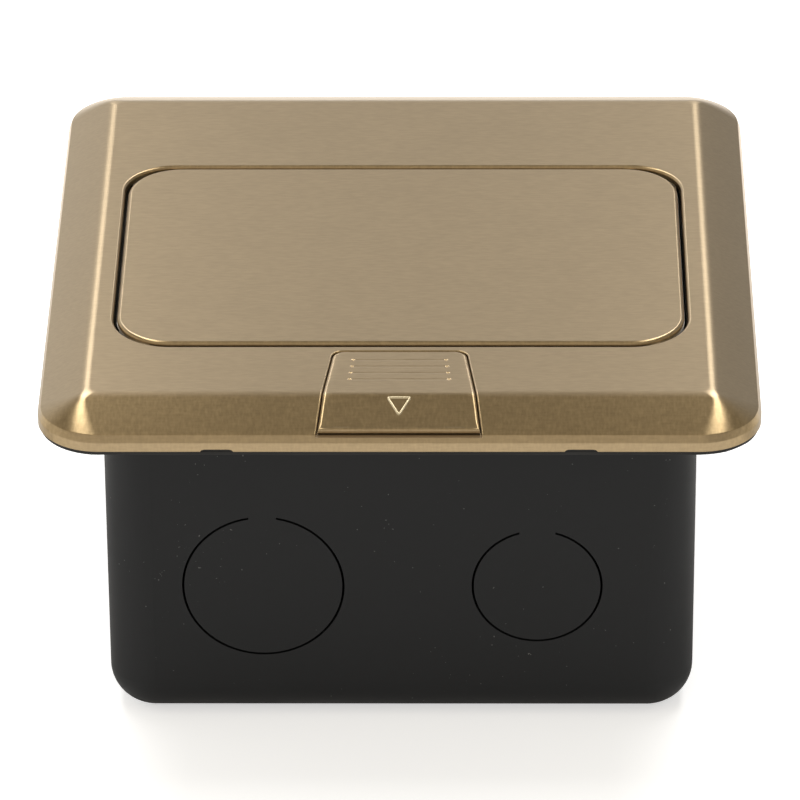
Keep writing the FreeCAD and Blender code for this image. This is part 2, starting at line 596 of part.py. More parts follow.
def make_cover_plate():
    """Stamped shell: flat top, bevel, skirt, lid opening, button cut-out and threaded posts."""
    body = new_body("cover_plate")
    foot = new_sketch(body, "XY", "skirt_top")
    draw_rounded(foot, "-bevel_foot", "bevel_foot", "-bevel_foot", "bevel_foot",
                 "plate_corner - plate_half + bevel_foot")
    flat = new_sketch(body, "XY", "plate_top")
    draw_rounded(flat, "-flat_half", "flat_half", "-flat_half", "flat_half", "flat_corner")
    loft(body, "AdditiveLoft", foot, flat)
    skirt = new_sketch(body, "XY", "skirt_top")
    draw_rounded(skirt, "-plate_half", "plate_half", "-plate_half", "plate_half", "plate_corner")
    pad(body, skirt, "skirt_height", along=-1)
    reach = value("plate_half") - 0.1
    fillet(body, "skirt_round",
           lambda edge, middle: level(edge, value("skirt_top"))
           and math.hypot(middle.x, middle.y) > reach)
    fillet(body, "crease_round", lambda edge, middle: level(edge, value("plate_top")))

    inner_foot = new_sketch(body, "XY", "inner_foot")
    draw_rounded(inner_foot, "-skirt_inside", "skirt_inside", "-skirt_inside", "skirt_inside",
                 "plate_corner - sheet")
    inner_flat = new_sketch(body, "XY", "plate_under")
    draw_rounded(inner_flat, "-inner_flat", "inner_flat", "-inner_flat", "inner_flat", "flat_corner")
    loft(body, "SubtractiveLoft", inner_foot, inner_flat)
    skirt_hollow = new_sketch(body, "XY", "skirt_bottom")
    draw_rounded(skirt_hollow, "-skirt_inside", "skirt_inside", "-skirt_inside", "skirt_inside",
                 "plate_corner - sheet")
    pocket(body, skirt_hollow, "inner_foot - skirt_bottom", along=1)

    opening = new_sketch(body, "XY", "plate_top")
    draw_rounded(opening, "-lid_half - lid_gap", "lid_half + lid_gap", "-lid_front - lid_gap",
                 "lid_rear + lid_gap", "lid_corner + lid_gap")
    pocket(body, opening, "2 * sheet")
    edge_x, edge_y = value("lid_half + lid_gap") + 0.1, value("lid_front + lid_gap") + 0.1
    fillet(body, "opening_round",
           lambda edge, middle: level(edge, value("plate_top")) and abs(middle.x) < edge_x
           and abs(middle.y) < edge_y)

    cutout = new_sketch(body, "XY", "plate_top")
    rear, front = "button_rear - button_gap", "cutout_front"
    draw_polygon(cutout, [(f"{cutout_half(rear, 'button_gap')}", f"-({rear})"),
                          (f"-{cutout_half(rear, 'button_gap')}", f"-({rear})"),
                          (f"-{cutout_half(front, 'button_gap')}", f"-{front}"),
                          (f"{cutout_half(front, 'button_gap')}", f"-{front}")])
    pocket(body, cutout, "plate_top - inner_foot")
    rear_y = -value("button_rear") + value("button_gap")
    fillet(body, "button_corner",
           lambda edge, middle: abs(middle.y - rear_y) < 0.1 and edge.BoundBox.ZLength > 0.5
           and abs(middle.x) > 5)

    posts = new_sketch(body, "XY", "chassis_top")
    drilled = new_sketch(body, "XY", "chassis_top")
    for side in SIDES.values():
        for x, y in POSTS:
            draw_circle(posts, f"{side} * {x}", y, "post_radius")
            draw_circle(drilled, f"{side} * {x}", y, "screw / 2 + thread_play")
    pad(body, posts, "plate_under - chassis_top")
    pocket(body, drilled, "post_hole_depth", along=1)

    for end in (-1, 1):
        notches = new_sketch(body, "XZ", f"{end} * (plate_half + sheet)")
        for side in SIDES.values():
            draw_rectangle(notches, f"{side} * notch_x - notch_width / 2",
                           f"{side} * notch_x + notch_width / 2", "skirt_bottom - 1",
                           "skirt_bottom + notch_height")
        pocket(body, notches, "3 * sheet", along=-end)


def make_gasket():
    """Rubber ring under the plate, stepped to fit inside the skirt, with tabs in the notches."""
    body = new_body("gasket")
    for start, depth, outside in (("flange_level", "gasket_lip", "gasket_half"),
                                  ("skirt_bottom", "gasket_rise", "skirt_inside - part_play / 2")):
        ring = new_sketch(body, "XY", start)
        draw_rounded(ring, f"-({outside})", outside, f"-({outside})", outside,
                     f"plate_corner - plate_half + {outside}")
        draw_rounded(ring, "-gasket_inside", "gasket_inside", "-gasket_inside", "gasket_inside",
                     "plate_corner - plate_half + gasket_inside")
        pad(body, ring, depth)
    tabs = new_sketch(body, "XY", "skirt_bottom")
    for side in SIDES.values():
        for end in (-1, 1):
            near, far = sorted((f"{end} * gasket_half", f"{end} * (skirt_inside - gasket_lip)"),
                               key=value)
            draw_rectangle(tabs, f"{side} * notch_x - notch_width / 2 + thread_play",
                           f"{side} * notch_x + notch_width / 2 - thread_play", near, far)
    pad(body, tabs, "notch_height - thread_play")


# ---------------------------------------------------------------- hinge
def make_hinge_brackets():
    for word, side in SIDES.items():
        body = new_body("hinge_bracket_" + word)
        ear = new_sketch(body, "YZ", f"{side} * bracket_x")
        draw_polygon(ear, [("hinge_y - ear_slope", "chassis_top"),
                           ("hinge_y + ear_radius", "chassis_top"),
                           ("hinge_y + ear_radius", "hinge_z"), ("hinge_y - ear_radius", "hinge_z"),
                           ("hinge_y - ear_slope", "chassis_top + 2 * bracket_sheet")])
        pad(body, ear, "bracket_sheet", along=side)
        eye = new_sketch(body, "YZ", f"{side} * bracket_x")
        draw_circle(eye, "hinge_y", "hinge_z", "ear_radius")
        pad(body, eye, "bracket_sheet", along=side)
        bore = new_sketch(body, "YZ", f"{side} * bracket_x")
        draw_circle(bore, "hinge_y", "hinge_z", "rod_radius + rod_play / 2")
        pocket(body, bore, "bracket_sheet", along=side)
        foot = new_sketch(body, "XY", "chassis_top")
        low, high = sorted((f"{side} * bracket_x",
                            f"{side} * (bracket_x + bracket_sheet + bracket_foot)"), key=value)
        draw_rectangle(foot, low, high, "hinge_y - ear_slope", "hinge_y + ear_radius")
        draw_circle(foot, f"{side} * ({BRACKET_SCREW_X})", BRACKET_SCREW_Y,
                    "screw / 2 + hole_play / 2")
        pad(body, foot, "bracket_sheet")


def make_hinge_rod():
    rod = cylinder("+X", "-rod_half", "hinge_y", "hinge_z", "rod_radius", "2 * rod_half")
    name_part(rod, "hinge_rod")
    clips = []
    for side, direction in ((-1, "-X"), (1, "+X")):
        start = f"{side} * (bracket_x + bracket_sheet + clip_gap)"
        disc = cylinder(direction, start, "hinge_y", "hinge_z", "clip_radius", "clip_sheet")
        bore = cylinder(direction, start, "hinge_y", "hinge_z", "rod_radius", "clip_sheet")
        slot = block(f"{side} * rod_half - 3", f"{side} * rod_half + 3", "hinge_y - rod_radius / 2",
                     "hinge_y + rod_radius / 2", "hinge_z - 2 * clip_radius", "hinge_z")
        clips.append(cut(disc, bore, slot))
    name_part(group(*clips), "rod_clips")


def make_hinge_springs():
    """Torsion springs: a close-wound coil on the rod, one leg on the lid, one on the chassis."""
    length = "bracket_x - cheek_x - 2 * spring_play"
    for (word, side), direction in zip(SIDES.items(), ("-X", "+X")):
        start = f"{side} * (cheek_x + spring_play)"
        coil = cut(
            cylinder(direction, start, "hinge_y", "hinge_z", "coil_inside + hinge_wire", length),
            cylinder(direction, start, "hinge_y", "hinge_z", "coil_inside", length))
        lid_leg = cylinder("-Y", f"{side} * (cheek_x + spring_play + hinge_wire / 2)", "hinge_y",
                           "hinge_z + coil_line", "hinge_wire / 2", "hinge_leg")
        chassis_leg = cylinder("-Z", f"{side} * (bracket_x - spring_play - hinge_wire / 2)",
                               "hinge_y - coil_line", "hinge_z", "hinge_wire / 2",
                               "hinge_z - chassis_top - seat_gap")
        name_part(fuse(coil, lid_leg, chassis_leg), "hinge_spring_" + word)


def make_lid_buffers():
    buffers = [
        fuse(cylinder("+Z", f"{side} * buffer_x", "buffer_y", "chassis_top", "buffer_radius",
                      "plate_under - seat_gap - chassis_top"),
             cylinder("+Z", f"{side} * buffer_x", "buffer_y", "chassis_top", "buffer_foot",
                      "bracket_sheet"))
        for side in SIDES.values()
    ]
    name_part(group(*buffers), "lid_buffers")


# ---------------------------------------------------------------- lid and carrier
LID_STUDS = [(f"{side} * stud_x", y) for side in (-1, 1) for y in ("stud_front", "stud_back")]
KEEPER_STUDS = [(f"{side} * keeper_stud_x", "-keeper_stud_y") for side in (-1, 1)]


def make_lid_plate():
    body = new_body("lid_plate")
    outline = new_sketch(body, "XY", "plate_under")
    draw_rounded(outline, "-lid_half", "lid_half", "-lid_front", "lid_rear", "lid_corner")
    pad(body, outline, "sheet")
    fillet(body, "lid_round", lambda edge, middle: level(edge, value("plate_top")))
    studs = new_sketch(body, "XY", "plate_under")
    for x, y in LID_STUDS + KEEPER_STUDS:
        draw_circle(studs, x, y, "stud / 2")
    pad(body, studs, "stud_length", along=-1)


def make_lid_nuts():
    """Hexagon nuts on the lid's welded studs."""
    nuts = []
    for x, y in LID_STUDS + KEEPER_STUDS:
        seat = "flange_under" if (x, y) in LID_STUDS else "plate_under - keeper_sheet"
        prism = doc.addObject("Part::Prism", "nut")
        prism.Polygon = 6
        prism.Placement = FreeCAD.Placement(
            FreeCAD.Vector(), FreeCAD.Rotation(FreeCAD.Vector(0, 0, 1), 30))
        prism.setExpression("Circumradius", spell_out("nut_width / 2 / cos(30)"))
        prism.setExpression("Height", spell_out("nut_height"))
        for axis, start in (("x", x), ("y", y), ("z", f"{seat} - nut_height")):
            prism.setExpression(f".Placement.Base.{axis}", spell_out(start))
        bore = cylinder("-Z", x, y, seat, "stud / 2 + thread_play", "nut_height")
        nuts.append(cut(prism, bore))
    name_part(group(*nuts), "lid_nuts")


RIVETS = [("frame_rivet_y", "module_z - rivet_spread"), ("frame_rivet_y", "module_z + rivet_spread"),
          ("cover_rivet_y", "cover_low + rivet_head + 2"), ("cover_rivet_y", "cover_top - rivet_head - 2")]


def make_cheeks():
    """Side plates under the lid, hinged on the rod and carrying the outlets between them."""
    for word, side in SIDES.items():
        body = new_body("cheek_" + word)
        plate = new_sketch(body, "YZ", f"{side} * cheek_inside")
        draw_polygon(plate, [
            ("flange_front", "plate_under"), ("flange_front", "flange_under - cheek_sheet"),
            ("frame_front", "module_z + rivet_spread"), ("frame_front", "carrier_bottom"),
            ("frame_back + frame_side", "carrier_bottom"), ("cover_back", "cover_low"),
            ("cover_back", "cover_top"), ("hinge_y + cheek_tail", "hinge_z - cheek_tail / 2"),
            ("hinge_y + cheek_tail", "plate_under")])
        pad(body, plate, "cheek_sheet", along=side)
        flange = new_sketch(body, "XY", "flange_under")
        low, high = sorted((f"{side} * cheek_inside", f"{side} * (cheek_inside - flange_width)"),
                           key=value)
        draw_rectangle(flange, low, high, "flange_front", "flange_back")
        for x, y in LID_STUDS:
            if value(x) * side > 0:
                draw_circle(flange, x, y, "stud / 2 + hole_play / 2")
        pad(body, flange, "cheek_sheet")
        holes = new_sketch(body, "YZ", f"{side} * cheek_inside")
        draw_circle(holes, "hinge_y", "hinge_z", "rod_radius + rod_play")
        draw_circle(holes, "stop_y", "stop_z", "stop_pin / 2")
        for y, z in RIVETS:
            draw_circle(holes, y, z, "rivet / 2 + thread_play")
        pocket(body, holes, "2 * cheek_sheet", along=side)


def make_stop_pins():
    """Pins that meet the brackets when the lid is fully open."""
    pins = [
        cylinder(direction, f"{side} * cheek_inside", "stop_y", "stop_z", "stop_pin / 2",
                 "bracket_x + bracket_sheet - cheek_inside")
        for side, direction in ((-1, "-X"), (1, "+X"))
    ]
    name_part(group(*pins), "stop_pins")


def make_carrier_rivets():
    rivets = []
    for side, direction in ((-1, "+X"), (1, "-X")):
        for y, z in RIVETS:
            rivets.append(screw(direction, f"{side} * cheek_x", y, z, "rivet / 2",
                                "2 * cheek_sheet + frame_play", "rivet_head", "rivet_height"))
    name_part(group(*rivets), "carrier_rivets")


def make_module_frame():
    """Frame plate with one window for each outlet and side flanges riveted to the cheeks."""
    body = new_body("module_frame")
    plate = new_sketch(body, "XZ", "frame_front")
    draw_rectangle(plate, "-frame_half", "frame_half", "carrier_bottom", "frame_top")
    for centre, half in (("socket_x", "module_half"), ("jack_x", "module / 4")):
        draw_rectangle(plate, f"{centre} - {half} + module_rim", f"{centre} + {half} - module_rim",
                       "module_z - module_half + module_rim", "module_z + module_half - module_rim")
    pad(body, plate, "frame_sheet")
    for side in SIDES.values():
        flange = new_sketch(body, "XZ", "frame_back")
        low, high = sorted((f"{side} * frame_half", f"{side} * (frame_half - cheek_sheet)"), key=value)
        draw_rectangle(flange, low, high, "module_z - frame_side_height / 2",
                       "module_z + frame_side_height / 2")
        pad(body, flange, "frame_side")
    holes = new_sketch(body, "YZ", "-cheek_x")
    for y, z in RIVETS[:2]:
        draw_circle(holes, y, z, "rivet / 2 + thread_play")
    pocket(body, holes, "2 * cheek_x", along=1)


# ---------------------------------------------------------------- earthed outlet
PIN_XS = ("socket_x - pin_x", "socket_x + pin_x")


def make_socket_insert():
    """Front plate with the round plug recess, its pin holes and its earth slots."""
    body = new_body("socket_insert")
    plate = new_sketch(body, "XZ", "face_y")
    half = "(module_half - module_play)"
    draw_rectangle(plate, f"socket_x - {half}", f"socket_x + {half}", f"module_z - {half}",
                   f"module_z + {half}")
    pad(body, plate, "front_sheet")
    front = value("face_y")
    fillet(body, "front_round",
           lambda edge, middle: abs(middle.y - front) < 1e-4 and edge.BoundBox.YLength < 1e-4)
    cup = new_sketch(body, "XZ", "face_y + front_sheet / 2")
    draw_circle(cup, "socket_x", "module_z", "recess_radius + recess_wall")
    pad(body, cup, "cup_back - face_y - front_sheet / 2")
    recess = new_sketch(body, "XZ", "face_y")
    draw_circle(recess, "socket_x", "module_z", "recess_radius")
    pocket(body, recess, "recess_depth", along=1)
    pins = new_sketch(body, "XZ", "recess_back")
    for x in PIN_XS:
        draw_circle(pins, x, "module_z", "pin_hole / 2")
    pocket(body, pins, "2 * recess_floor", along=1)
    slots = new_sketch(body, "XZ", "face_y + earth_reach - part_play")
    for side in (-1, 1):
        low, high = sorted((f"module_z + {side} * (recess_radius - earth_sheet)",
                            f"module_z + {side} * (recess_radius + 2 * recess_wall)"), key=value)
        draw_rectangle(slots, "socket_x - earth_width / 2 - part_play",
                       "socket_x + earth_width / 2 + part_play", low, high)
    pocket(body, slots, "2 * recess_depth", along=1)


def make_socket_base():
    """Housing behind the recess: contact cavities, shutter guides and the shutter's abutment."""
    half, height = "base_half_width", "base_half_height"
    housing = block(f"socket_x - {half}", f"socket_x + {half}", "base_front", "base_back",
                    f"module_z - {height}", f"module_z + {height}")
    guides = []
    start, end = "cup_back + thread_play", "base_front"
    for low, high in (("shutter_low - module_rim", "shutter_low - part_play"),
                      ("shutter_top + part_play", "shutter_top + module_rim")):
        for left, right in ((f"socket_x - {half}", "socket_x - ear_width - part_play"),
                            ("socket_x + ear_x + ear_width + part_play", f"socket_x + {half}")):
            guides.append(block(left, right, start, end, low, high))
    abutment = block("socket_x - shutter_height", "socket_x - shutter_height + ear_width", start, end,
                     "shutter_top + part_play", "shutter_top + shutter_ear")
    base = fuse(housing, abutment, *guides)
    for x in PIN_XS:
        cavity = cylinder("+Y", x, "base_front", "module_z",
                          "contact_bore / 2 + contact_wall + part_play / 2",
                          "base_back - base_front - recess_floor")
        base = cut(base, cavity)
    for x, z in TERMINALS:
        bore = cylinder("-Y", x, "base_back", z, "screw / 2 + thread_play", "2 * screw")
        base = cut(base, bore)
    name_part(base, "socket_base")


TERMINALS = [("socket_x - pin_x", "module_z - base_half_height + screw"),
             ("socket_x + pin_x", "module_z - base_half_height + screw"), ("socket_x", "module_z")]


def make_contacts():
    for node, x in zip(("live_contact", "neutral_contact"), PIN_XS):
        length = "base_back - base_front - recess_floor - part_play"
        tube = cylinder("+Y", x, "base_front", "module_z", "contact_bore / 2 + contact_wall", length)
        bore = cylinder("+Y", x, "base_front", "module_z", "contact_bore / 2", length)
        slot = block(f"{x} - contact_slot / 2", f"{x} + contact_slot / 2", "base_front",
                     "base_front + 2 * contact_bore", "module_z", "module_z + 2 * contact_bore")
        name_part(cut(tube, bore, slot), node)


def make_earth_strap():
    """One strip with a clip at the top and bottom of the recess, round the back of the base."""
    left, right = "socket_x - earth_width / 2", "socket_x + earth_width / 2"
    knee = "cup_back + thread_play"
    runs = []
    for side in (-1, 1):
        outer = sorted((f"module_z + {side} * earth_arm", f"module_z + {side} * (earth_arm + earth_sheet)"),
                       key=value)
        inner = sorted((f"module_z + {side} * (base_half_height + thread_play)",
                        f"module_z + {side} * (base_half_height + thread_play + earth_sheet)"), key=value)
        between = sorted((outer[0], outer[1], inner[0], inner[1]), key=value)
        runs.append(block(left, right, "face_y + earth_reach", f"{knee} + earth_sheet", *outer))
        runs.append(block(left, right, knee, f"{knee} + earth_sheet", between[0], between[3]))
        runs.append(block(left, right, knee, "earth_back + earth_sheet", *inner))
    reach = "(base_half_height + thread_play + earth_sheet)"
    runs.append(block(left, right, "earth_back", "earth_back + earth_sheet", f"module_z - {reach}",
                      f"module_z + {reach}"))
    bore = cylinder("+Y", "socket_x", "base_back", "module_z", "screw / 2 + thread_play", "2 * earth_sheet")
    name_part(cut(fuse(*runs), bore), "earth_strap")


def make_terminal_screws():
    seats = ("base_back", "base_back", "earth_back + earth_sheet")
    screws = [
        screw("-Y", x, seat, z, "screw / 2", "2 * screw - 1", "small_head", "small_head_height")
        for (x, z), seat in zip(TERMINALS, seats)
    ]
    name_part(group(*screws), "terminal_screws")


def make_socket_shutter():
    """Sliding safety shutter: its windows meet the pin holes when it is pushed aside."""
    low_x, high_x = "socket_x - shutter_end", "socket_x + shutter_end + shutter_travel"
    back = "shutter_front + shutter_sheet"
    plate = block(low_x, high_x, "shutter_front", back, "shutter_low", "shutter_top")
    ear = block("socket_x + ear_x", "socket_x + ear_x + ear_width", "shutter_front", back,
                "shutter_top", "shutter_top + shutter_ear")
    windows = [
        cylinder("+Y", f"{x} + shutter_travel", "shutter_front", "module_z",
                 "pin_hole / 2 + part_play", "shutter_sheet")
        for x in PIN_XS
    ]
    name_part(cut(fuse(plate, ear), *windows), "socket_shutter")
    coil_y, coil_z = "shutter_front + shutter_sheet / 2", "shutter_top + shutter_ear / 2 + part_play"
    start = "socket_x - shutter_height + ear_width"
    length = "ear_x + shutter_height - ear_width"
    coil = cut(cylinder("+X", start, coil_y, coil_z, "shutter_coil", length),
               cylinder("+X", start, coil_y, coil_z, "shutter_coil / 2", length))
    name_part(coil, "shutter_spring")


# ---------------------------------------------------------------- data outlet
def make_jack():
    """Half-width plate with a rim behind its aperture, the jack body and its spring contacts."""
    body = new_body("jack_plate")
    half, tall = "(module / 4 - module_play)", "(module_half - module_play)"
    plate = new_sketch(body, "XZ", "face_y")
    draw_rectangle(plate, f"jack_x - {half}", f"jack_x + {half}", f"module_z - {tall}", f"module_z + {tall}")
    draw_rectangle(plate, "jack_x - aperture_width / 2", "jack_x + aperture_width / 2", "aperture_low",
                   "aperture_top")
    pad(body, plate, "front_sheet")
    front, reach = value("face_y"), value("jack_x + module / 4") - 1
    inside = value("jack_x - module / 4") + 1
    low, top = value("module_z - module_half") + 1, value("module_z + module_half") - 1
    fillet(body, "front_round",
           lambda edge, middle: abs(middle.y - front) < 1e-4 and edge.BoundBox.YLength < 1e-4
           and not (inside < middle.x < reach and low < middle.z < top))
    rim = new_sketch(body, "XZ", "frame_front")
    for wall in ("0", "jack_wall"):
        draw_rectangle(rim, f"jack_x - jack_rim_half + {wall}", f"jack_x + jack_rim_half - {wall}",
                       f"module_z - jack_rim_height + {wall}", f"module_z + jack_rim_height - {wall}")
    pad(body, rim, "jack_flange - frame_front + jack_wall")

    flange_half, flange_tall = "(jack_rim_half - jack_wall - part_play / 2)", \
        "(jack_rim_height - jack_wall - part_play / 2)"
    flange = block(f"jack_x - {flange_half}", f"jack_x + {flange_half}", "jack_flange",
                   "jack_flange + jack_wall", f"module_z - {flange_tall}", f"module_z + {flange_tall}")
    housing = block(f"jack_x - {flange_half}", f"jack_x + {flange_half}", "jack_flange + jack_wall",
                    "jack_flange + jack_length", "port_low - 2 * jack_wall", "port_top + 3 * jack_wall")
    port = block("jack_x - port_width / 2", "jack_x + port_width / 2", "jack_flange",
                 "jack_flange + port_depth", "port_low", "port_top")
    name_part(cut(fuse(flange, housing), port), "jack_body")

    contacts = []
    for number in range(int(value("pin_count"))):
        x = f"jack_x + ({number} - (pin_count - 1) / 2) * pin_pitch"
        contacts.append(block(f"{x} - jack_pin / 2", f"{x} + jack_pin / 2", "jack_flange + 2 * jack_wall",
                              "jack_flange + port_depth", "port_top - 2 * jack_pin", "port_top"))
    name_part(group(*contacts), "jack_contacts")


def make_jack_shutter():
    plate = block("jack_x - jack_half", "jack_x + jack_half", "jack_front", "jack_shutter_back",
                  "jack_shutter_low", "jack_shutter_top")
    ridge = block("jack_x - ridge_half", "jack_x + ridge_half", "face_y + part_play", "jack_front",
                  "aperture_low + part_play", "aperture_low + part_play + ridge_height")
    name_part(fuse(plate, ridge), "jack_shutter")
    middle = "(jack_front + jack_shutter_back) / 2"
    x, length = "jack_x + jack_half - 2 * jack_coil - part_play", \
        "module_z + jack_rim_height - jack_wall - jack_shutter_top"
    coil = cut(cylinder("+Z", x, middle, "jack_shutter_top", "jack_coil", length),
               cylinder("+Z", x, middle, "jack_shutter_top", "jack_coil / 2", length))
    name_part(coil, "jack_spring")


# ---------------------------------------------------------------- rear cover and clamp
def make_rear_cover():
    body = new_body("rear_cover")
    plate = new_sketch(body, "XZ", "cover_front")
    draw_rectangle(plate, "-frame_half", "frame_half", "cover_low", "cover_top")
    pad(body, plate, "cover_sheet")
    for side in SIDES.values():
        wing = new_sketch(body, "XZ", "cover_front")
        low, high = sorted((f"{side} * frame_half", f"{side} * (frame_half - cheek_sheet)"), key=value)
        draw_rectangle(wing, low, high, "cover_low", "cover_top")
        pad(body, wing, "cover_wing", along=-1)
    holes = new_sketch(body, "YZ", "-cheek_x")
    for y, z in RIVETS[2:]:
        draw_circle(holes, y, z, "rivet / 2 + thread_play")
    pocket(body, holes, "2 * cheek_x", along=1)
    bores = new_sketch(body, "XZ", "cover_back")
    for side in SIDES.values():
        draw_circle(bores, f"{side} * clamp_screw_x", "clamp_low + clamp_height / 2",
                    "small_screw / 2 + thread_play")
    pocket(body, bores, "2 * cover_sheet", along=-1)


def make_cable_clamp():
    """Saddle that holds the supply cable on the rear cover."""
    saddle = block("-clamp_half", "clamp_half", "cover_back", "cover_back + clamp_rise", "clamp_low",
                   "clamp_low + clamp_height")
    arch = cylinder("+Z", "0", "cover_back", "clamp_low", "cable_radius", "clamp_height")
    screws = []
    for side in SIDES.values():
        x, z = f"{side} * clamp_screw_x", "clamp_low + clamp_height / 2"
        seat = "cover_back + clamp_rise"
        saddle = cut(saddle, cylinder("-Y", x, seat, z, "small_screw / 2 + thread_play", "clamp_rise"))
        screws.append(screw("-Y", x, seat, z, "small_screw / 2", "clamp_rise + cover_sheet",
                            "small_head", "small_head_height"))
    name_part(cut(saddle, arch), "cable_clamp")
    name_part(group(*screws), "clamp_screws")


# ---------------------------------------------------------------- release button and latch
def make_button_cap():
    """Button in the plate's own outline: flat, bevel, grip ribs and two screw posts."""
    body = new_body("button_cap")
    plan = new_sketch(body, "XY", "lip_level")
    rear, lip = "button_rear", "button_lip"
    draw_polygon(plan, [(cutout_half(rear, "0"), f"-{rear}"), (f"-{cutout_half(rear, '0')}", f"-{rear}"),
                        (f"-{cutout_half(lip, '0')}", f"-{lip}"), (cutout_half(lip, "0"), f"-{lip}")])
    pad(body, plan, "plate_top - lip_level")
    rear_y = -value("button_rear")
    fillet(body, "button_corner - button_gap",
           lambda edge, middle: abs(middle.y - rear_y) < 0.1 and edge.BoundBox.ZLength > 0.5)
    over = new_sketch(body, "YZ")
    beyond = "(button_lip + bevel_run)"
    draw_polygon(over, [("-flat_half", "plate_top"),
                        (f"-{beyond}", f"plate_top - ({beyond} - flat_half) * bevel_slope"),
                        (f"-{beyond}", "plate_top + sheet"), ("-flat_half", "plate_top + sheet")])
    pocket(body, over, "4 * button_half", along=0)
    crease = -value("flat_half")
    fillet(body, "crease_round",
           lambda edge, middle: level(edge, value("plate_top")) and abs(middle.y - crease) < 1e-3)
    hollow = new_sketch(body, "YZ")
    foot_y = "(flat_half + (plate_top - inner_drop - lip_level) / bevel_slope)"
    draw_polygon(hollow, [("-button_rear - sheet", "lip_level - 1"), ("-button_rear - sheet", "plate_under"),
                          ("-inner_flat", "plate_under"), (f"-{foot_y}", "lip_level"),
                          (f"-{foot_y}", "lip_level - 1")])
    pocket(body, hollow, "2 * (button_half - sheet)", along=0)
    posts = new_sketch(body, "XY", "slider_top")
    for side in SIDES.values():
        draw_circle(posts, f"{side} * cap_post_x", "-cap_post_y", "cap_post_radius")
        draw_circle(posts, f"{side} * cap_post_x", "-cap_post_y", "small_screw / 2 + thread_play")
    pad(body, posts, "plate_under - slider_top")
    ribs = new_sketch(body, "XY", "plate_top")
    for number in range(int(value("rib_count"))):
        y = f"-button_rear - rib_start - {number} * rib_pitch"
        draw_rectangle(ribs, "-rib_half", "rib_half", f"{y} - rib_width", y)
    pocket(body, ribs, "rib_depth")


def make_latch_slider():
    """Plate under the button that runs in the guide; its tabs bear on the button springs."""
    body = new_body("latch_slider")
    plate = new_sketch(body, "XY", "slider_level")
    draw_rectangle(plate, "-slider_half", "slider_half", "-slider_front", "-slider_rear")
    for side in SIDES.values():
        draw_circle(plate, f"{side} * cap_post_x", "-cap_post_y", "small_screw / 2 + thread_play")
        draw_circle(plate, f"{side} * tongue_rivet_x", "-tongue_rivet_y", "small_screw / 2")
    pad(body, plate, "slider_sheet")
    tabs = new_sketch(body, "XY", "slider_level")
    for side in SIDES.values():
        draw_rectangle(tabs, f"{side} * spring_x - tab_half", f"{side} * spring_x + tab_half",
                       "-tab_front", "-tab_rear")
    pad(body, tabs, "2 * button_coil", along=-1)
    screws = [
        screw("+Z", f"{side} * cap_post_x", "-cap_post_y", "slider_level", "small_screw / 2",
              "slider_sheet + 2", "small_head", "small_head_height")
        for side in SIDES.values()
    ]
    name_part(group(*screws), "slider_screws")


def make_latch_tongue():
    """Spring-steel strip on the slider; its nose holds the lid's keeper down."""
    strip = block("-tongue_half", "tongue_half", "-tongue_root", "-tongue_nose", "slider_top", "tongue_top")
    rivets = []
    for side in SIDES.values():
        x, y = f"{side} * tongue_rivet_x", "-tongue_rivet_y"
        strip = cut(strip, cylinder("+Z", x, y, "slider_top", "small_screw / 2", "tongue_sheet"))
        rivets.append(screw("-Z", x, y, "tongue_top", "small_screw / 2", "tongue_sheet + slider_sheet",
                            "small_head", "tongue_sheet"))
    name_part(strip, "latch_tongue")
    name_part(group(*rivets), "tongue_rivets")


def make_latch_guide():
    """Moulded guide on the chassis: a bed and side lips for the slider, channels for springs."""
    bed = block("-guide_half", "guide_half", "-guide_front", "-guide_rear", "chassis_top", "guide_top")
    pieces = [bed]
    lip_low = "slider_top + guide_play"
    for side in SIDES.values():
        rail = sorted((f"{side} * guide_half", f"{side} * (slider_half + guide_play)"), key=value)
        lip = sorted((f"{side} * guide_half", f"{side} * (slider_half - guide_lip_reach)"), key=value)
        pieces.append(block(*rail, "-guide_front", "-guide_rear", "guide_top", f"{lip_low} + guide_lip"))
        pieces.append(block(*lip, "-guide_front", "-guide_rear", lip_low, f"{lip_low} + guide_lip"))
    guide = fuse(*pieces)
    channel = "(button_coil + channel_play)"
    springs = []
    for word, side in SIDES.items():
        x = f"{side} * spring_x"
        guide = cut(guide, block(f"{x} - {channel}", f"{x} + {channel}", "-channel_front", "-slider_rear",
                                 "chassis_top", "guide_top"))
        z, length = "chassis_top + button_coil + seat_gap", "channel_front - tab_front"
        springs.append((word, cut(cylinder("+Y", x, "-channel_front", z, "button_coil", length),
                                  cylinder("+Y", x, "-channel_front", z, "button_coil - sheet / 2", length))))
    for y in GUIDE_SCREWS:
        guide = cut(guide, cylinder("+Z", "0", y, "chassis_top", "screw / 2 + thread_play",
                                    "guide_top - chassis_top - chassis_sheet + part_play"))
    name_part(guide, "latch_guide")
    for word, coil in springs:
        name_part(coil, "button_spring_" + word)


def make_lid_keeper():
    """Hook under the lid's front edge, held by the latch tongue."""
    foot = block("-keeper_half", "keeper_half", "-keeper_web - keeper_sheet", "-keeper_foot",
                 "plate_under - keeper_sheet", "plate_under")
    web = block("-keeper_half", "keeper_half", "-keeper_web - keeper_sheet", "-keeper_web",
                "keeper_low", "plate_under")
    lip = block("-keeper_half", "keeper_half", "-keeper_lip", "-keeper_web", "keeper_low",
                "keeper_low + keeper_sheet")
    keeper = fuse(foot, web, lip)
    for x, y in KEEPER_STUDS:
        keeper = cut(keeper, cylinder("-Z", x, y, "plate_under", "stud / 2 + thread_play", "keeper_sheet"))
    name_part(keeper, "lid_keeper")


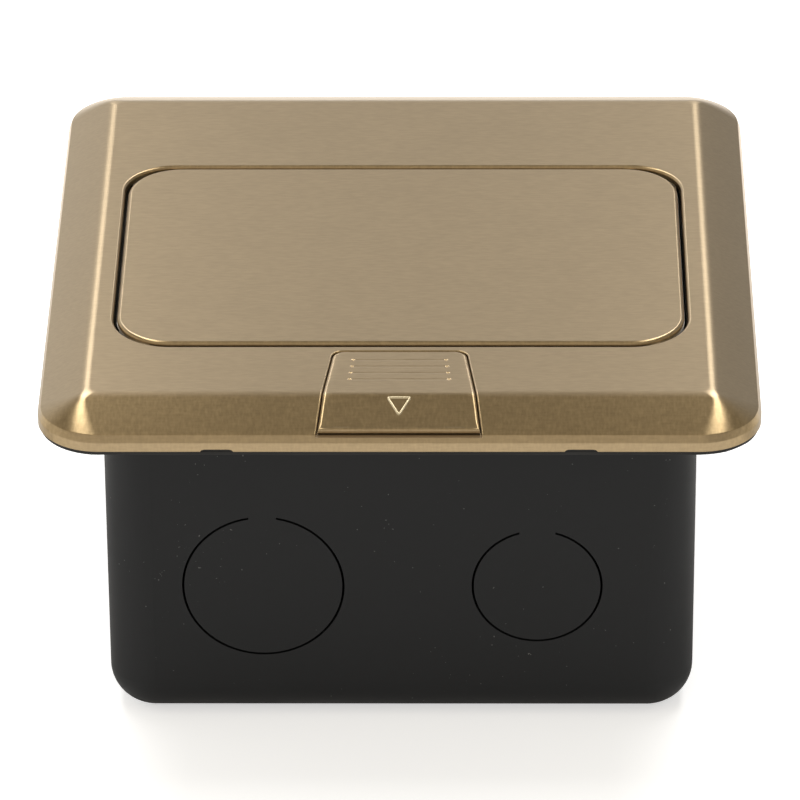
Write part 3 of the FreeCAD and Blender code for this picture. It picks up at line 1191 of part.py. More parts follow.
# ---------------------------------------------------------------- build, check and write
make_back_box()
make_box_lugs()
make_earth_terminal()
make_chassis()
make_frame_screws()
make_cover_plate()
make_gasket()
make_hinge_brackets()
make_hinge_rod()
make_hinge_springs()
make_lid_buffers()
make_lid_plate()
make_lid_nuts()
make_cheeks()
make_stop_pins()
make_carrier_rivets()
make_module_frame()
make_socket_insert()
make_socket_base()
make_contacts()
make_earth_strap()
make_terminal_screws()
make_socket_shutter()
make_jack()
make_jack_shutter()
make_rear_cover()
make_cable_clamp()
make_button_cap()
make_latch_slider()
make_latch_tongue()
make_latch_guide()
make_lid_keeper()
doc.recompute()

for item in doc.Objects:
    if "Invalid" in item.State or "Error" in item.State:
        raise RuntimeError(f"{item.Label} failed: {item.State}")
    if item.TypeId == "PartDesign::Pocket":
        removed = item.BaseFeature.Shape.Volume - item.Shape.Volume
        if removed < 1e-3:
            raise RuntimeError(f"{item.Label} removes nothing")
for item in parts:
    if item.Shape.isNull() or not item.Shape.isValid():
        raise RuntimeError(f"{item.Label} has no valid shape")
    item.Shape.exportStep(f"parts/{item.Label}.step")
    print(f"{item.Label:22s} {len(item.Shape.Solids)} solids {item.Shape.Volume:10.1f} mm3")
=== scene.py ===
# %% [markdown]
# A floor socket box: a black steel box sunk in the floor, a brushed brass cover plate on top, and a
# lid with an outlet and a data jack under it. Its working solids come packed as a frame. This file
# gives them their finishes, and builds again in mesh code the pieces that need finer shape.

# %% Load the frame
import bpy
import bmesh
import math
from mathutils import Matrix, Vector


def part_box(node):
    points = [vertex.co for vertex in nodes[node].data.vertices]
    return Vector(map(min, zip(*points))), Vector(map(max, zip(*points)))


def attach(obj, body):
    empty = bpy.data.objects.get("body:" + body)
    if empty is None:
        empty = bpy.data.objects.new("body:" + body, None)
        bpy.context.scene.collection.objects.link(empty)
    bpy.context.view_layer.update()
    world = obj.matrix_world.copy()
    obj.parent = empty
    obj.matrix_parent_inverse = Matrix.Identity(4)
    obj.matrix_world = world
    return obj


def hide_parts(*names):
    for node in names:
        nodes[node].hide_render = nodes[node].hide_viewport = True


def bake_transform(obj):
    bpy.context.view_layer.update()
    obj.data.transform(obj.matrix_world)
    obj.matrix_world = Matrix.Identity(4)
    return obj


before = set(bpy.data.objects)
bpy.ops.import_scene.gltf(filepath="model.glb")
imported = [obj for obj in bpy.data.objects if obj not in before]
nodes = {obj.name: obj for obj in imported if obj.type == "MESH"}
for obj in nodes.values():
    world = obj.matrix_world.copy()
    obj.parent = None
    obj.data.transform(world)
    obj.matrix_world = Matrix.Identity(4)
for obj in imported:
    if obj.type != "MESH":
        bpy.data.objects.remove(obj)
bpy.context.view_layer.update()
MM = 0.001


def mm(*sizes):
    return [size * MM for size in sizes]


# %% [markdown]
# Every finish below is a node material. An effect that several finishes share is a node group with
# named inputs and outputs. These helpers make a group and link its nodes without long lines.


# %% Helpers for node trees
def add_node(tree, kind, links=None, **settings):
    """Add a node, set its properties, and link or set its inputs from a dictionary."""
    node = tree.nodes.new("ShaderNode" + kind)
    for name, setting in settings.items():
        setattr(node, name, setting)
    for name, source in (links or {}).items():
        if isinstance(source, bpy.types.NodeSocket):
            tree.links.new(source, node.inputs[name])
        else:
            node.inputs[name].default_value = source
    return node


def new_group(name, numbers, outputs):
    """A node group with a position and named numbers in, and named values out."""
    tree = bpy.data.node_groups.new(name, "ShaderNodeTree")
    tree.interface.new_socket("Position", in_out="INPUT", socket_type="NodeSocketVector")
    for label, default in numbers.items():
        socket = tree.interface.new_socket(label, in_out="INPUT", socket_type="NodeSocketFloat")
        socket.default_value = default
    for label in outputs:
        tree.interface.new_socket(label, in_out="OUTPUT", socket_type="NodeSocketFloat")
    source = tree.nodes.new("NodeGroupInput")
    sink = tree.nodes.new("NodeGroupOutput")
    return tree, source.outputs, sink.inputs


def math_node(tree, operation, first, second):
    return add_node(tree, "Math", {0: first, 1: second}, operation=operation).outputs[0]


def times(tree, first, second):
    return math_node(tree, "MULTIPLY", first, second)


def remap(tree, source, low, high, to_low=0.0, to_high=1.0):
    """Stretch a value from one range to another, held at the ends."""
    links = {"Value": source, "From Min": low, "From Max": high, "To Min": to_low, "To Max": to_high}
    return add_node(tree, "MapRange", links).outputs[0]


def split(tree, vector):
    return add_node(tree, "SeparateXYZ", {0: vector}).outputs


def noise(tree, vector, scale, detail, roughness=0.5):
    links = {"Vector": vector, "Scale": scale, "Detail": detail, "Roughness": roughness}
    return add_node(tree, "TexNoise", links).outputs["Fac"]


def noise_to(tree, value, low, high):
    """Give a noise, which mostly stays between 0.3 and 0.7, a range of its own."""
    return remap(tree, value, 0.3, 0.7, low, high)


print("helpers for nodes, groups, sums, ranges and noises")

# %% [markdown]
# A brushing belt leaves fine scratches that all run one way. Noise that is stretched along that way
# looks like them. The group gives the scratches as a value for tone, roughness and bump, and a soft
# cloudiness for the haze that a belt leaves.

# %% Group: brushed grain
tree, source, sink = new_group("brushed_grain", {"Along": 40.0, "Across": 6000.0}, ["Scratch", "Haze"])
x, y, z = split(tree, source["Position"])
scaled = {0: times(tree, x, source["Along"]), 1: times(tree, y, source["Across"]),
          2: times(tree, z, source["Across"])}
stretched = add_node(tree, "CombineXYZ", scaled).outputs[0]
tree.links.new(noise(tree, stretched, 1.0, 3.0), sink["Scratch"])
tree.links.new(noise(tree, source["Position"], 90.0, 4.0), sink["Haze"])
brushed_grain = tree
print("group", brushed_grain.name)

# %% [markdown]
# Dust and small nicks show as sparse specks. A fine noise that is cut off near its top leaves only
# a few separate dots, and a larger noise thins them out in patches.

# %% Group: sparse specks
tree, source, sink = new_group("sparse_specks", {"Size": 900.0, "Rarity": 0.72}, ["Speck"])
fine = noise(tree, source["Position"], source["Size"], 1.0)
patch = noise(tree, source["Position"], 40.0, 2.0)
both = math_node(tree, "ADD", fine, remap(tree, patch, 0.35, 0.65, -0.06, 0.02))
edge = math_node(tree, "ADD", source["Rarity"], 0.02)
tree.links.new(remap(tree, both, source["Rarity"], edge), sink["Speck"])
sparse_specks = tree
print("group", sparse_specks.name)

# %% [markdown]
# Handled edges lose their surface first, and edges catch a little more light. The finishes lighten
# edges by this mask: wear on the enamel and the metal, a painted highlight on the rubber and the
# plastics. A Bevel node gives the normal that a rounded edge would have, and where that differs from
# the true normal there is an edge, so their difference is a mask.

# %% Group: worn edges
tree, source, sink = new_group("edge_wear_and_highlight", {"Width": 0.4 * MM, "Amount": 0.5}, ["Edge"])
soft = add_node(tree, "Bevel", {"Radius": source["Width"]}, samples=4)
true = add_node(tree, "NewGeometry")
turn = add_node(tree, "VectorMath", {0: soft.outputs[0], 1: true.outputs["Normal"]},
                operation="DOT_PRODUCT")
bent = remap(tree, turn.outputs["Value"], 0.995, 0.9)
rub = noise(tree, source["Position"], 300.0, 3.0)
broken = times(tree, bent, remap(tree, rub, 0.35, 0.6))
tree.links.new(times(tree, broken, source["Amount"]), sink["Edge"])
edge_wear_and_highlight = tree
print("group", edge_wear_and_highlight.name)

# %% [markdown]
# Moulded plastic and cured paint aren't dead flat: they have a fine orange peel. The group gives it
# as a height for a Bump node, with a slow drift of tone for the colour.

# %% Group: fine peel
tree, source, sink = new_group("fine_peel", {"Grain": 2500.0}, ["Height", "Drift"])
tree.links.new(noise(tree, source["Position"], source["Grain"], 2.0), sink["Height"])
tree.links.new(noise(tree, source["Position"], 45.0, 5.0, 0.6), sink["Drift"])
fine_peel = tree
print("group", fine_peel.name)

# %% [markdown]
# A finish starts from one Principled shader. Plain numbers are set on its own sockets, and only
# what changes over the surface comes in through links.


# %% Helpers for finishes
def new_finish(name, colour, **numbers):
    """A material with one Principled shader; gives the material, its tree, shader and position."""
    finish = bpy.data.materials.new(name)
    finish.use_nodes = True
    tree = finish.node_tree
    shader = tree.nodes["Principled BSDF"]
    shader.inputs["Base Color"].default_value = (*colour, 1.0)
    for label, number in numbers.items():
        shader.inputs[label.replace("_", " ")].default_value = number
    position = add_node(tree, "TexCoord").outputs["Object"]
    return finish, tree, shader, position


def place_group(tree, group, position, **numbers):
    return add_node(tree, "Group", {"Position": position, **numbers}, node_tree=group).outputs


def mix_colours(tree, factor, first, second):
    """Mix two colours; each is a tuple or comes from a socket."""
    first, second = [(*c, 1.0) if isinstance(c, tuple) else c for c in (first, second)]
    return add_node(tree, "Mix", {0: factor, 6: first, 7: second}, data_type="RGBA").outputs[2]


def add_bump(tree, shader, height, strength, distance):
    bump = add_node(tree, "Bump", {"Height": height, "Strength": strength, "Distance": distance})
    tree.links.new(bump.outputs[0], shader.inputs["Normal"])


def link_in(tree, source, shader, label):
    tree.links.new(source, shader.inputs[label])


print("helpers new_finish, place_group, mix_colours, add_bump and link_in")

# %% [markdown]
# The cover is plated and brushed, then lacquered. The faces that look to the front get a darker,
# deeper brass: painted shade, as they mirror the dim sky overhead. They carry a fine mottle from the
# press. The normal tells them from the rest. The scratches run from side to side, so anisotropy
# stretches the shine across.

# %% Finish: brushed brass
FLAT_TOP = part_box("cover_plate")[1].z
BRASS_FLAT = (0.407, 0.313, 0.197)
# A darker brass: painted shade for the faces that look to the front.
BRASS_FRONT_PAINTED_SHADE = (0.355, 0.258, 0.136)

plate_finish, tree, shader, position = new_finish(
    "brushed_brass", BRASS_FLAT, Metallic=1.0, Anisotropic=0.7, Anisotropic_Rotation=0.25)
grain = place_group(tree, brushed_grain, position, Along=480.0, Across=2600.0)
facing = split(tree, add_node(tree, "TexCoord").outputs["Normal"])[1]
front = math_node(tree, "SUBTRACT", remap(tree, facing, -0.12, -0.36),
                  remap(tree, facing, -0.6, -0.95, 0.0, 0.5))
# The darker brass mixed in on the faces that look to the front is painted shade.
colour = mix_colours(tree, front, BRASS_FLAT, BRASS_FRONT_PAINTED_SHADE)
streaks = times(tree, noise_to(tree, grain["Scratch"], 0.94, 1.06),
                noise_to(tree, grain["Haze"], 0.984, 1.016))
tall = add_node(tree, "VectorMath", {0: position, 1: (2300.0, 800.0, 800.0)}, operation="MULTIPLY")
mottle = noise(tree, tall.outputs[0], 1.0, 4.0)
pressed = times(tree, front, remap(tree, mottle, 0.4, 0.75, -0.05, 0.19))
tone = math_node(tree, "ADD", streaks, pressed)
scaled = add_node(tree, "VectorMath", {0: colour, 3: tone}, operation="SCALE").outputs[0]
link_in(tree, scaled, shader, "Base Color")
link_in(tree, noise_to(tree, grain["Scratch"], 0.29, 0.305), shader, "Roughness")
along = add_node(tree, "CombineXYZ", {0: 1.0, 1: 0.02, 2: 0.02}).outputs[0]
link_in(tree, along, shader, "Tangent")
print("finish", plate_finish.name)

# %% [markdown]
# The box is drawn steel under a thin black enamel. It is nearly matt, with a faint peel, a few
# pale specks where dust sat on it, and rubbed edges.

# %% Finish: black enamel
ENAMEL, DUST = (0.0068, 0.0072, 0.0080), (0.35, 0.35, 0.35)
PEEL_DEPTH = 0.03 * MM

box_finish, tree, shader, position = new_finish("black_enamel", ENAMEL, Specular_IOR_Level=0.25)
peel = place_group(tree, fine_peel, position, Grain=1800.0)
speck = place_group(tree, sparse_specks, position, Size=1700.0, Rarity=0.785)
edge = place_group(tree, edge_wear_and_highlight, position, Width=0.3 * MM, Amount=0.35)
pale = tuple(4.5 * part for part in ENAMEL)
drifted = mix_colours(tree, remap(tree, peel["Drift"], 0.35, 0.7, 0.0, 0.2), ENAMEL, pale)
speckled = mix_colours(tree, times(tree, speck["Speck"], 0.3), drifted, DUST)
link_in(tree, mix_colours(tree, edge["Edge"], speckled, pale), shader, "Base Color")
link_in(tree, noise_to(tree, peel["Drift"], 0.44, 0.58), shader, "Roughness")
add_bump(tree, shader, peel["Height"], 0.25, PEEL_DEPTH)
print("finish", box_finish.name)

# %% [markdown]
# Rubber and the plastics share one recipe: a base colour, a fine peel, a slow drift in tone and
# edges painted a little lighter, a painted highlight where they catch more light. Only the numbers
# change.


# %% Finish: rubber and plastics
def make_moulded(name, colour, rough, grain, bump, edge_highlight_colour):
    finish, tree, shader, position = new_finish(name, colour, Roughness=rough)
    peel = place_group(tree, fine_peel, position, Grain=grain)
    edge = place_group(tree, edge_wear_and_highlight, position, Width=0.2 * MM, Amount=0.25)
    shade = tuple(0.8 * part for part in colour)
    drifted = mix_colours(tree, noise_to(tree, peel["Drift"], 0.0, 0.5), colour, shade)
    # The lighter colour on the edges is a painted highlight.
    link_in(tree, mix_colours(tree, edge["Edge"], drifted, edge_highlight_colour), shader, "Base Color")
    link_in(tree, noise_to(tree, peel["Drift"], rough - 0.05, rough + 0.05), shader, "Roughness")
    add_bump(tree, shader, peel["Height"], bump, PEEL_DEPTH)
    return finish


rubber_finish = make_moulded("black_rubber", (0.007, 0.0066, 0.0062), 0.75, 3000.0, 0.35, (0.012,) * 3)
guide_finish = make_moulded("black_nylon", (0.03, 0.03, 0.032), 0.42, 2500.0, 0.2, (0.08,) * 3)
outlet_finish = make_moulded("white_gloss_plastic", (0.80, 0.80, 0.78), 0.22, 1500.0, 0.06, (0.86,) * 3)
housing_finish = make_moulded("grey_plastic", (0.33, 0.34, 0.35), 0.4, 2200.0, 0.15, (0.45,) * 3)
print("finishes rubber_finish guide_finish outlet_finish housing_finish")

# %% [markdown]
# Hot-dip zinc freezes in crystals, so galvanised sheet has a spangle: cells of slightly different
# grey. A Voronoi texture gives each cell its own tone, and a noise keeps it from being too neat.

# %% Finish: galvanised sheet
sheet_finish, tree, shader, position = new_finish("galvanised_sheet", (0.55, 0.57, 0.58), Metallic=1.0)
cells = add_node(tree, "TexVoronoi", {"Vector": position, "Scale": 350.0})
cell = add_node(tree, "SeparateColor", {0: cells.outputs["Color"]}).outputs[0]
grain = place_group(tree, brushed_grain, position, Along=90.0, Across=2500.0)
edge = place_group(tree, edge_wear_and_highlight, position, Width=0.2 * MM, Amount=0.4)
tone = mix_colours(tree, cell, (0.46, 0.48, 0.50), (0.64, 0.65, 0.66))
link_in(tree, mix_colours(tree, edge["Edge"], tone, (0.75, 0.75, 0.75)), shader, "Base Color")
mixed = math_node(tree, "ADD", times(tree, cell, 0.5), times(tree, grain["Haze"], 0.5))
link_in(tree, remap(tree, mixed, 0.2, 0.8, 0.3, 0.48), shader, "Roughness")
add_bump(tree, shader, grain["Scratch"], 0.08, 0.02 * MM)
print("finish", sheet_finish.name)

# %% [markdown]
# Screws, pins, springs and contacts are all small turned or drawn metal. One recipe gives them a
# metal colour with fine turning marks and a little tarnish in patches.


# %% Finish: small metal pieces
def make_small_metal(name, colour, tarnish, rough):
    finish, tree, shader, position = new_finish(name, colour, Metallic=1.0, Roughness=rough)
    grain = place_group(tree, brushed_grain, position, Along=900.0, Across=4000.0)
    edge = place_group(tree, edge_wear_and_highlight, position, Width=0.12 * MM, Amount=0.5)
    bright = tuple(min(1.0, 1.15 * part) for part in colour)
    toned = mix_colours(tree, remap(tree, grain["Haze"], 0.4, 0.7, 0.0, 0.6), colour, tarnish)
    link_in(tree, mix_colours(tree, edge["Edge"], toned, bright), shader, "Base Color")
    link_in(tree, noise_to(tree, grain["Scratch"], rough - 0.06, rough + 0.08), shader, "Roughness")
    add_bump(tree, shader, grain["Scratch"], 0.1, 0.01 * MM)
    return finish


screw_finish = make_small_metal("zinc_plate", (0.66, 0.67, 0.66), (0.52, 0.53, 0.50), 0.28)
spring_finish = make_small_metal("spring_steel", (0.50, 0.50, 0.51), (0.36, 0.36, 0.38), 0.25)
contact_finish = make_small_metal("contact_brass", (0.78, 0.60, 0.30), (0.55, 0.40, 0.20), 0.27)
mark_finish = make_small_metal("polished_brass", (0.60, 0.51, 0.34), (0.48, 0.40, 0.26), 0.42)
gold_finish = make_small_metal("contact_gold", (0.92, 0.70, 0.30), (0.85, 0.62, 0.25), 0.2)
print("finishes screw_finish spring_finish contact_finish mark_finish gold_finish")

# %% [markdown]
# Each solid from the frame already has one material slot, named for what it is made of. The finish
# for that name goes on the object.

# %% Put the finishes on the solids
FINISHES = {
    "black_steel": box_finish, "plate_brass": plate_finish, "lid_brass": plate_finish,
    "button_brass": plate_finish, "gasket_rubber": rubber_finish, "galvanised_steel": sheet_finish,
    "zinc_screws": screw_finish, "spring_steel": spring_finish, "guide_plastic": guide_finish,
    "outlet_plastic": outlet_finish, "housing_plastic": housing_finish,
    "contact_brass": contact_finish, "contact_gold": gold_finish,
}
slot_of = {}
for name, solid in nodes.items():
    slot_of[name] = solid.data.materials[0].name.split(".")[0]
    solid.data.materials[0] = FINISHES[slot_of[name]]
print("finishes on", len(slot_of), "solids")

# %% [markdown]
# Lamps, cameras and meshes all come into the scene as objects. A mesh is drawn in a bmesh first,
# which is a scratch pad for faces, and then settled into a mesh that an object can show.


# %% Helpers for objects
def add_object(name, data):
    """An object for a mesh, a lamp or a camera, linked into the scene."""
    holder = bpy.data.objects.new(name, data)
    bpy.context.scene.collection.objects.link(holder)
    return holder


def mesh_from(name, shape):
    """Turn a bmesh into a mesh and let the bmesh go."""
    mesh = bpy.data.meshes.new(name)
    shape.to_mesh(mesh)
    shape.free()
    return mesh


print("helpers add_object and mesh_from")

# %% [markdown]
# The pieces that catch the eye are built again in mesh code. Most are lofts: rings of points that
# follow one outline while they step over an edge. The outlines are rectangles with rounded corners,
# and a rounded edge is a short list of steps inwards and down.


# %% Outlines and edges
def rounded_outline(x0, x1, y0, y1, radius, steps=16, rear=None):
    """Points round a rectangle with rounded corners, anticlockwise from the front right corner."""
    rear = rear or radius
    centres = ((x1 - radius, y0 + radius, -90, radius), (x1 - rear, y1 - rear, 0, rear),
               (x0 + rear, y1 - rear, 90, rear), (x0 + radius, y0 + radius, 180, radius))
    points = []
    for x, y, start, size in centres:
        for k in range(steps + 1):
            turn = math.radians(start + 90 * k / steps)
            points.append((x + size * math.cos(turn), y + size * math.sin(turn)))
    return points


def edge_round(radius, steps=6):
    """Steps over a rounded edge, as (inset, drop) pairs from the top face down to the side."""
    turns = [math.pi / 2 * k / steps for k in range(steps + 1)]
    return [(radius * (1 - math.sin(turn)), radius * (1 - math.cos(turn))) for turn in turns]


print("a rounded outline has", len(rounded_outline(-1, 1, -1, 1, 0.5)), "points")

# %% [markdown]
# A loft joins rings that have the same number of points. A turned piece, such as a screw, is a loft
# as well: its rings are circles along an axis. A hoop, such as a gasket, ends where it began.


# %% Lofts, hoops and turned shapes
def add_ring(shape, points, z):
    """Vertices for one ring; z is one height for all or a height for each point."""
    heights = z if isinstance(z, (list, tuple)) else [z] * len(points)
    return [shape.verts.new((p[0], p[1], h)) for p, h in zip(points, heights)]


def bridge(shape, first, second, closed=True):
    count = len(first)
    for k in range(count if closed else count - 1):
        after = (k + 1) % count
        shape.faces.new((first[k], first[after], second[after], second[k]))


def loft(shape, rings):
    """Join rings from the first to the last, with a face over each end."""
    for first, second in zip(rings, rings[1:]):
        bridge(shape, first, second)
    shape.faces.new(list(reversed(rings[0])))
    shape.faces.new(rings[-1])


def hoop(shape, rings):
    """Join rings one to the next and the last to the first."""
    for first, second in zip(rings, rings[1:] + rings[:1]):
        bridge(shape, first, second)


def lathe(shape, profile, centre, axis, sides=24):
    """A turned solid: profile is (distance along the axis, radius) pairs from one end to the other."""
    turn = Vector((0, 0, 1)).rotation_difference(Vector(axis)).to_matrix()
    rings = []
    for along, radius in profile:
        spots = [(radius * math.cos(math.tau * k / sides), radius * math.sin(math.tau * k / sides))
                 for k in range(sides)]
        rings.append([shape.verts.new(Vector(centre) + turn @ Vector((x, y, along))) for x, y in spots])
    loft(shape, rings)


def thread_steps(run, pitch, crest, root):
    """Steps of a thread for lathe: a crest and a root for each whole turn in the run."""
    steps = []
    for k in range(int(run / pitch)):
        steps += [(pitch * (k + 0.5), crest), (pitch * (k + 1), root)]
    return steps


print("helpers add_ring, bridge, loft, hoop, lathe and thread_steps")

# %% [markdown]
# A finished piece takes the place of its solid, and rides on the same moving body.
# Smooth shading with sharp edges above an angle keeps flats flat and rounds round. The Weighted
# Normal modifier stops small faces from tilting the shade of the large ones beside them.


# %% Pieces that stand for solids
def place_piece(name, mesh, finish, body, *stands_for, sharp=32):
    """An object that rides on a body and replaces its solids."""
    mesh.polygons.foreach_set("use_smooth", [True] * len(mesh.polygons))
    mesh.set_sharp_from_angle(angle=math.radians(sharp))
    mesh.materials.clear()
    mesh.materials.append(finish)
    piece = add_object(name, mesh)
    even = piece.modifiers.new("even_shading", "WEIGHTED_NORMAL")
    even.keep_sharp = True
    if body:
        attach(piece, body)
    if stands_for:
        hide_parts(*stands_for)
    return piece


def make_piece(name, shape, finish, body, *stands_for, sharp=32):
    """Clean up a bmesh and place it as a piece."""
    bmesh.ops.remove_doubles(shape, verts=shape.verts, dist=1e-7)
    bmesh.ops.recalc_face_normals(shape, faces=shape.faces)
    return place_piece(name, mesh_from(name, shape), finish, body, *stands_for, sharp=sharp)


def cut_away(mesh, cutters):
    """Cut closed shapes out of a mesh and give back the result as a new mesh."""
    body = add_object("to_cut", mesh)
    tools = []
    for k, shape in enumerate(cutters):
        bmesh.ops.recalc_face_normals(shape, faces=shape.faces)
        tool = add_object(f"tool_{k}", mesh_from(f"tool_{k}", shape))
        step = body.modifiers.new(f"cut_{k}", "BOOLEAN")
        step.operation, step.solver, step.object = "DIFFERENCE", "EXACT", tool
        tools.append(tool)
    graph = bpy.context.evaluated_depsgraph_get()
    result = bpy.data.meshes.new_from_object(body.evaluated_get(graph))
    for spare in [body, *tools]:
        bpy.data.objects.remove(spare)
    return result


print("helpers place_piece, make_piece and cut_away")

# %% [markdown]
# The cover plate is pressed from one sheet. Its flat top breaks over a crease into a sloping border,
# then an edge with a short steep flank, then an upright skirt. The slope is slightly narrower at the
# sides than in front. Seen from above, the corners start almost sharp at the crease and open quickly
# to the skirt's ten millimetre round, as stretched metal does.

# %% Sizes of the cover plate
PLATE_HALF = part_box("cover_plate")[1].x
GASKET_SHOWS = 0.8 * MM
SKIRT_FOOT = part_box("gasket")[0].z + GASKET_SHOWS
SHEET = 1.2 * MM
CREASE_FRONT, CREASE_SIDE, CREASE_ROUND = mm(51.75, 52.15, 5.0)
FOOT, FOOT_DROP, FOOT_ROUND = mm(59.4, 3.35, 0.3)
SLOPE = math.atan(FOOT_DROP / (FOOT - CREASE_FRONT))
SLOPE_SWELL = 0.45 * MM
FLANK = math.radians(70)
SKIRT_ROUND, SKIRT_EASE, SKIRT_CORNER = mm(0.8, 0.15, 10.5)
HIP_CORNER, HIP_GROWTH, HIP_POWER = 1.5 * MM, 8.4 * MM, 1.1
print("slope of", round(math.degrees(SLOPE), 1), "degrees")

# %% [markdown]
# A loft of rounded rectangles follows the profile, so the profile is a list of rows from the flat top
# outwards. A row says how far out the sheet is at the sides and in front, how far it has come down,
# and its share of the slope, which sets the corner's radius.


# %% Profile of the cover plate
def crease_and_slope():
    """Rows round the crease and down the slope, which swells a little."""
    rows = []
    reach = CREASE_ROUND * math.tan(SLOPE / 2)
    for k in range(8):
        turn = SLOPE * k / 8
        out = -reach + CREASE_ROUND * math.sin(turn)
        rows.append((CREASE_SIDE + out, CREASE_FRONT + out, -CREASE_ROUND * (1 - math.cos(turn)), 0.0))
    start = reach * math.cos(SLOPE)
    for k in range(13):
        share = k / 13
        front = CREASE_FRONT + start + (FOOT - CREASE_FRONT - start) * share
        side = CREASE_SIDE + start + (FOOT - CREASE_SIDE - start) * share
        straight = (front - CREASE_FRONT) * math.tan(SLOPE)
        rows.append((side, front, SLOPE_SWELL * share * (1 - share) - straight, share))
    return rows


def flank_and_skirt():
    """Rows round the slope's foot, down the steep flank, over the last round and down the skirt."""
    turned = FOOT_ROUND * (math.sin(FLANK) - math.sin(SLOPE)) + SKIRT_ROUND * (1 - math.sin(FLANK))
    flank = PLATE_HALF - FOOT - turned
    steps = []
    out, down = FOOT, FOOT_DROP
    for size, first, last in ((FOOT_ROUND, SLOPE, FLANK), (SKIRT_ROUND, FLANK, math.pi / 2)):
        for k in range(6):
            turn = first + (last - first) * k / 5
            steps.append((out + size * (math.sin(turn) - math.sin(first)),
                          -down - size * (math.cos(first) - math.cos(turn))))
        out = steps[-1][0] + flank
        down = flank * math.tan(FLANK) - steps[-1][1]
    low, high = SKIRT_FOOT - FLAT_TOP, steps[-1][1]
    for share in (0.5, 1.0):
        steps.append((PLATE_HALF, high + (low + SKIRT_EASE - high) * share))
    steps.append((PLATE_HALF - SKIRT_EASE, low))
    return [(half, half, rise, 1.0) for half, rise in steps]


def plate_profile():
    """(side half, front half, height, corner radius) from the flat top out to the foot of the skirt."""
    rings = []
    for side, front, rise, share in crease_and_slope() + flank_and_skirt():
        radius = HIP_CORNER + HIP_GROWTH * share ** HIP_POWER
        if share == 1.0:
            radius = SKIRT_CORNER - (PLATE_HALF - side)
        rings.append((side, front, FLAT_TOP + rise, radius))
    return rings


def plate_height(front):
    """Height of the plate's top this far in front of the middle."""
    for (_, f0, z0, _), (_, f1, z1, _) in zip(PROFILE, PROFILE[1:]):
        if front <= f1:
            return z0 if front <= f0 else z0 + (z1 - z0) * (front - f0) / (f1 - f0)
    return PROFILE[-1][2]

PROFILE = plate_profile()
print("profile with", len(PROFILE), "steps")

# %% [markdown]
# The lid's opening and the button's cut-out are cut from the lofted plate by shapes that flare at the
# top, so that each cut leaves a rounded edge. The lid swings up about a rod under its rear edge, so
# the rear corners of its opening are tighter than the lid's own and leave it room.

# %% Opening for the lid
LID_X, LID_FRONT, LID_REAR, LID_CORNER = mm(47.85, -35.0, 26.3, 9.2)
OPENING_X, OPENING_FRONT, OPENING_REAR = mm(48.42, -36.05, 26.85)
OPENING_CORNER, OPENING_REAR_CORNER, OPENING_EASE = mm(9.85, 8.6, 0.6)
OVERRUN, OPENING_DEPTH = mm(1, 4)


def cutter_through(outlines, heights):
    """A closed cutting shape through rings from the top down; below the last it goes straight."""
    shape = bmesh.new()
    rings = [add_ring(shape, points, z) for points, z in zip(outlines + outlines[-1:], heights)]
    loft(shape, list(reversed(rings)))
    return shape

outlines, heights = [], []
for grow, drop in [(OPENING_EASE, -OVERRUN)] + edge_round(OPENING_EASE):
    outlines.append(rounded_outline(
        -OPENING_X - grow, OPENING_X + grow, OPENING_FRONT - grow, OPENING_REAR + grow,
        OPENING_CORNER + grow, rear=OPENING_REAR_CORNER + grow))
    heights.append(FLAT_TOP - drop)
opening = cutter_through(outlines, heights + [FLAT_TOP - OPENING_DEPTH])
print("gap beside the lid", round((OPENING_X - LID_X) / MM, 2), "mm")

# %% [markdown]
# The button slides to the front over a cut-out that widens towards the lip. Its cutter follows the
# plate over the crease and runs out through the front of the slope, which leaves a ledge for the lip
# to slide over.

# %% Cut-out for the button
BUTTON_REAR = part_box("button_cap")[1].y
BUTTON_LIP, BUTTON_HALF, FLARE = -58.5 * MM, 11.0 * MM, 0.1154
CUTOUT_GAP, CUTOUT_EASE, CUTOUT_CORNER, CUTOUT_TOP_CORNER = mm(0.18, 0.22, 2.0, 2.2)
LEDGE, LEDGE_STEP = mm(61.8, 0.1)


def button_half(y):
    """Half the button's width at this distance from the middle of the plate."""
    return BUTTON_HALF + FLARE * (BUTTON_REAR - y)


def cutout_outline(corner, grow, count=14):
    """Points round the cut-out: a wedge with two rounded rear corners, open to the front."""
    room = CUTOUT_GAP + grow
    rear, lip = BUTTON_REAR + room, -PLATE_HALF - OVERRUN
    points = [(-button_half(lip) - room, lip), (button_half(lip) + room, lip)]
    for k in range(1, 25):
        y = lip + (rear - corner - lip) * k / 24
        points.append((button_half(y) + room, y))
    x = button_half(rear - corner) + room - corner
    for k in range(1, count + 1):
        turn = math.pi / 2 * k / count
        points.append((x + corner * math.cos(turn), rear - corner + corner * math.sin(turn)))
    return points + [(-x, y) for x, y in reversed(points[2:])]

outlines = [cutout_outline(CUTOUT_TOP_CORNER, CUTOUT_EASE)]
heights = [FLAT_TOP + OVERRUN]
for grow, drop in edge_round(CUTOUT_EASE, 4):
    points = cutout_outline(CUTOUT_CORNER + grow, grow)
    outlines.append(points)
    heights.append([max(plate_height(-y) - drop, LEDGE + LEDGE_STEP) for x, y in points])
cutout = cutter_through(outlines, heights + [LEDGE])
print("the cut-out is", round(2 * button_half(BUTTON_LIP) / MM, 1), "mm wide at the lip")

# %% [markdown]
# Two low notches in the skirt's foot, in front and behind, each show a tab of the gasket. Notch and
# tab are the same shape, a low wedge with sloped ends, so one function draws both.

# %% Notches in the skirt
NOTCH_X = 30 * MM
NOTCH = [(3.1, -0.5), (2.75, 0.12), (2.45, 0.45), (2.0, 0.56)]
TAB = [(2.9, -0.1), (2.6, 0.1), (2.35, 0.4), (1.95, 0.52)]


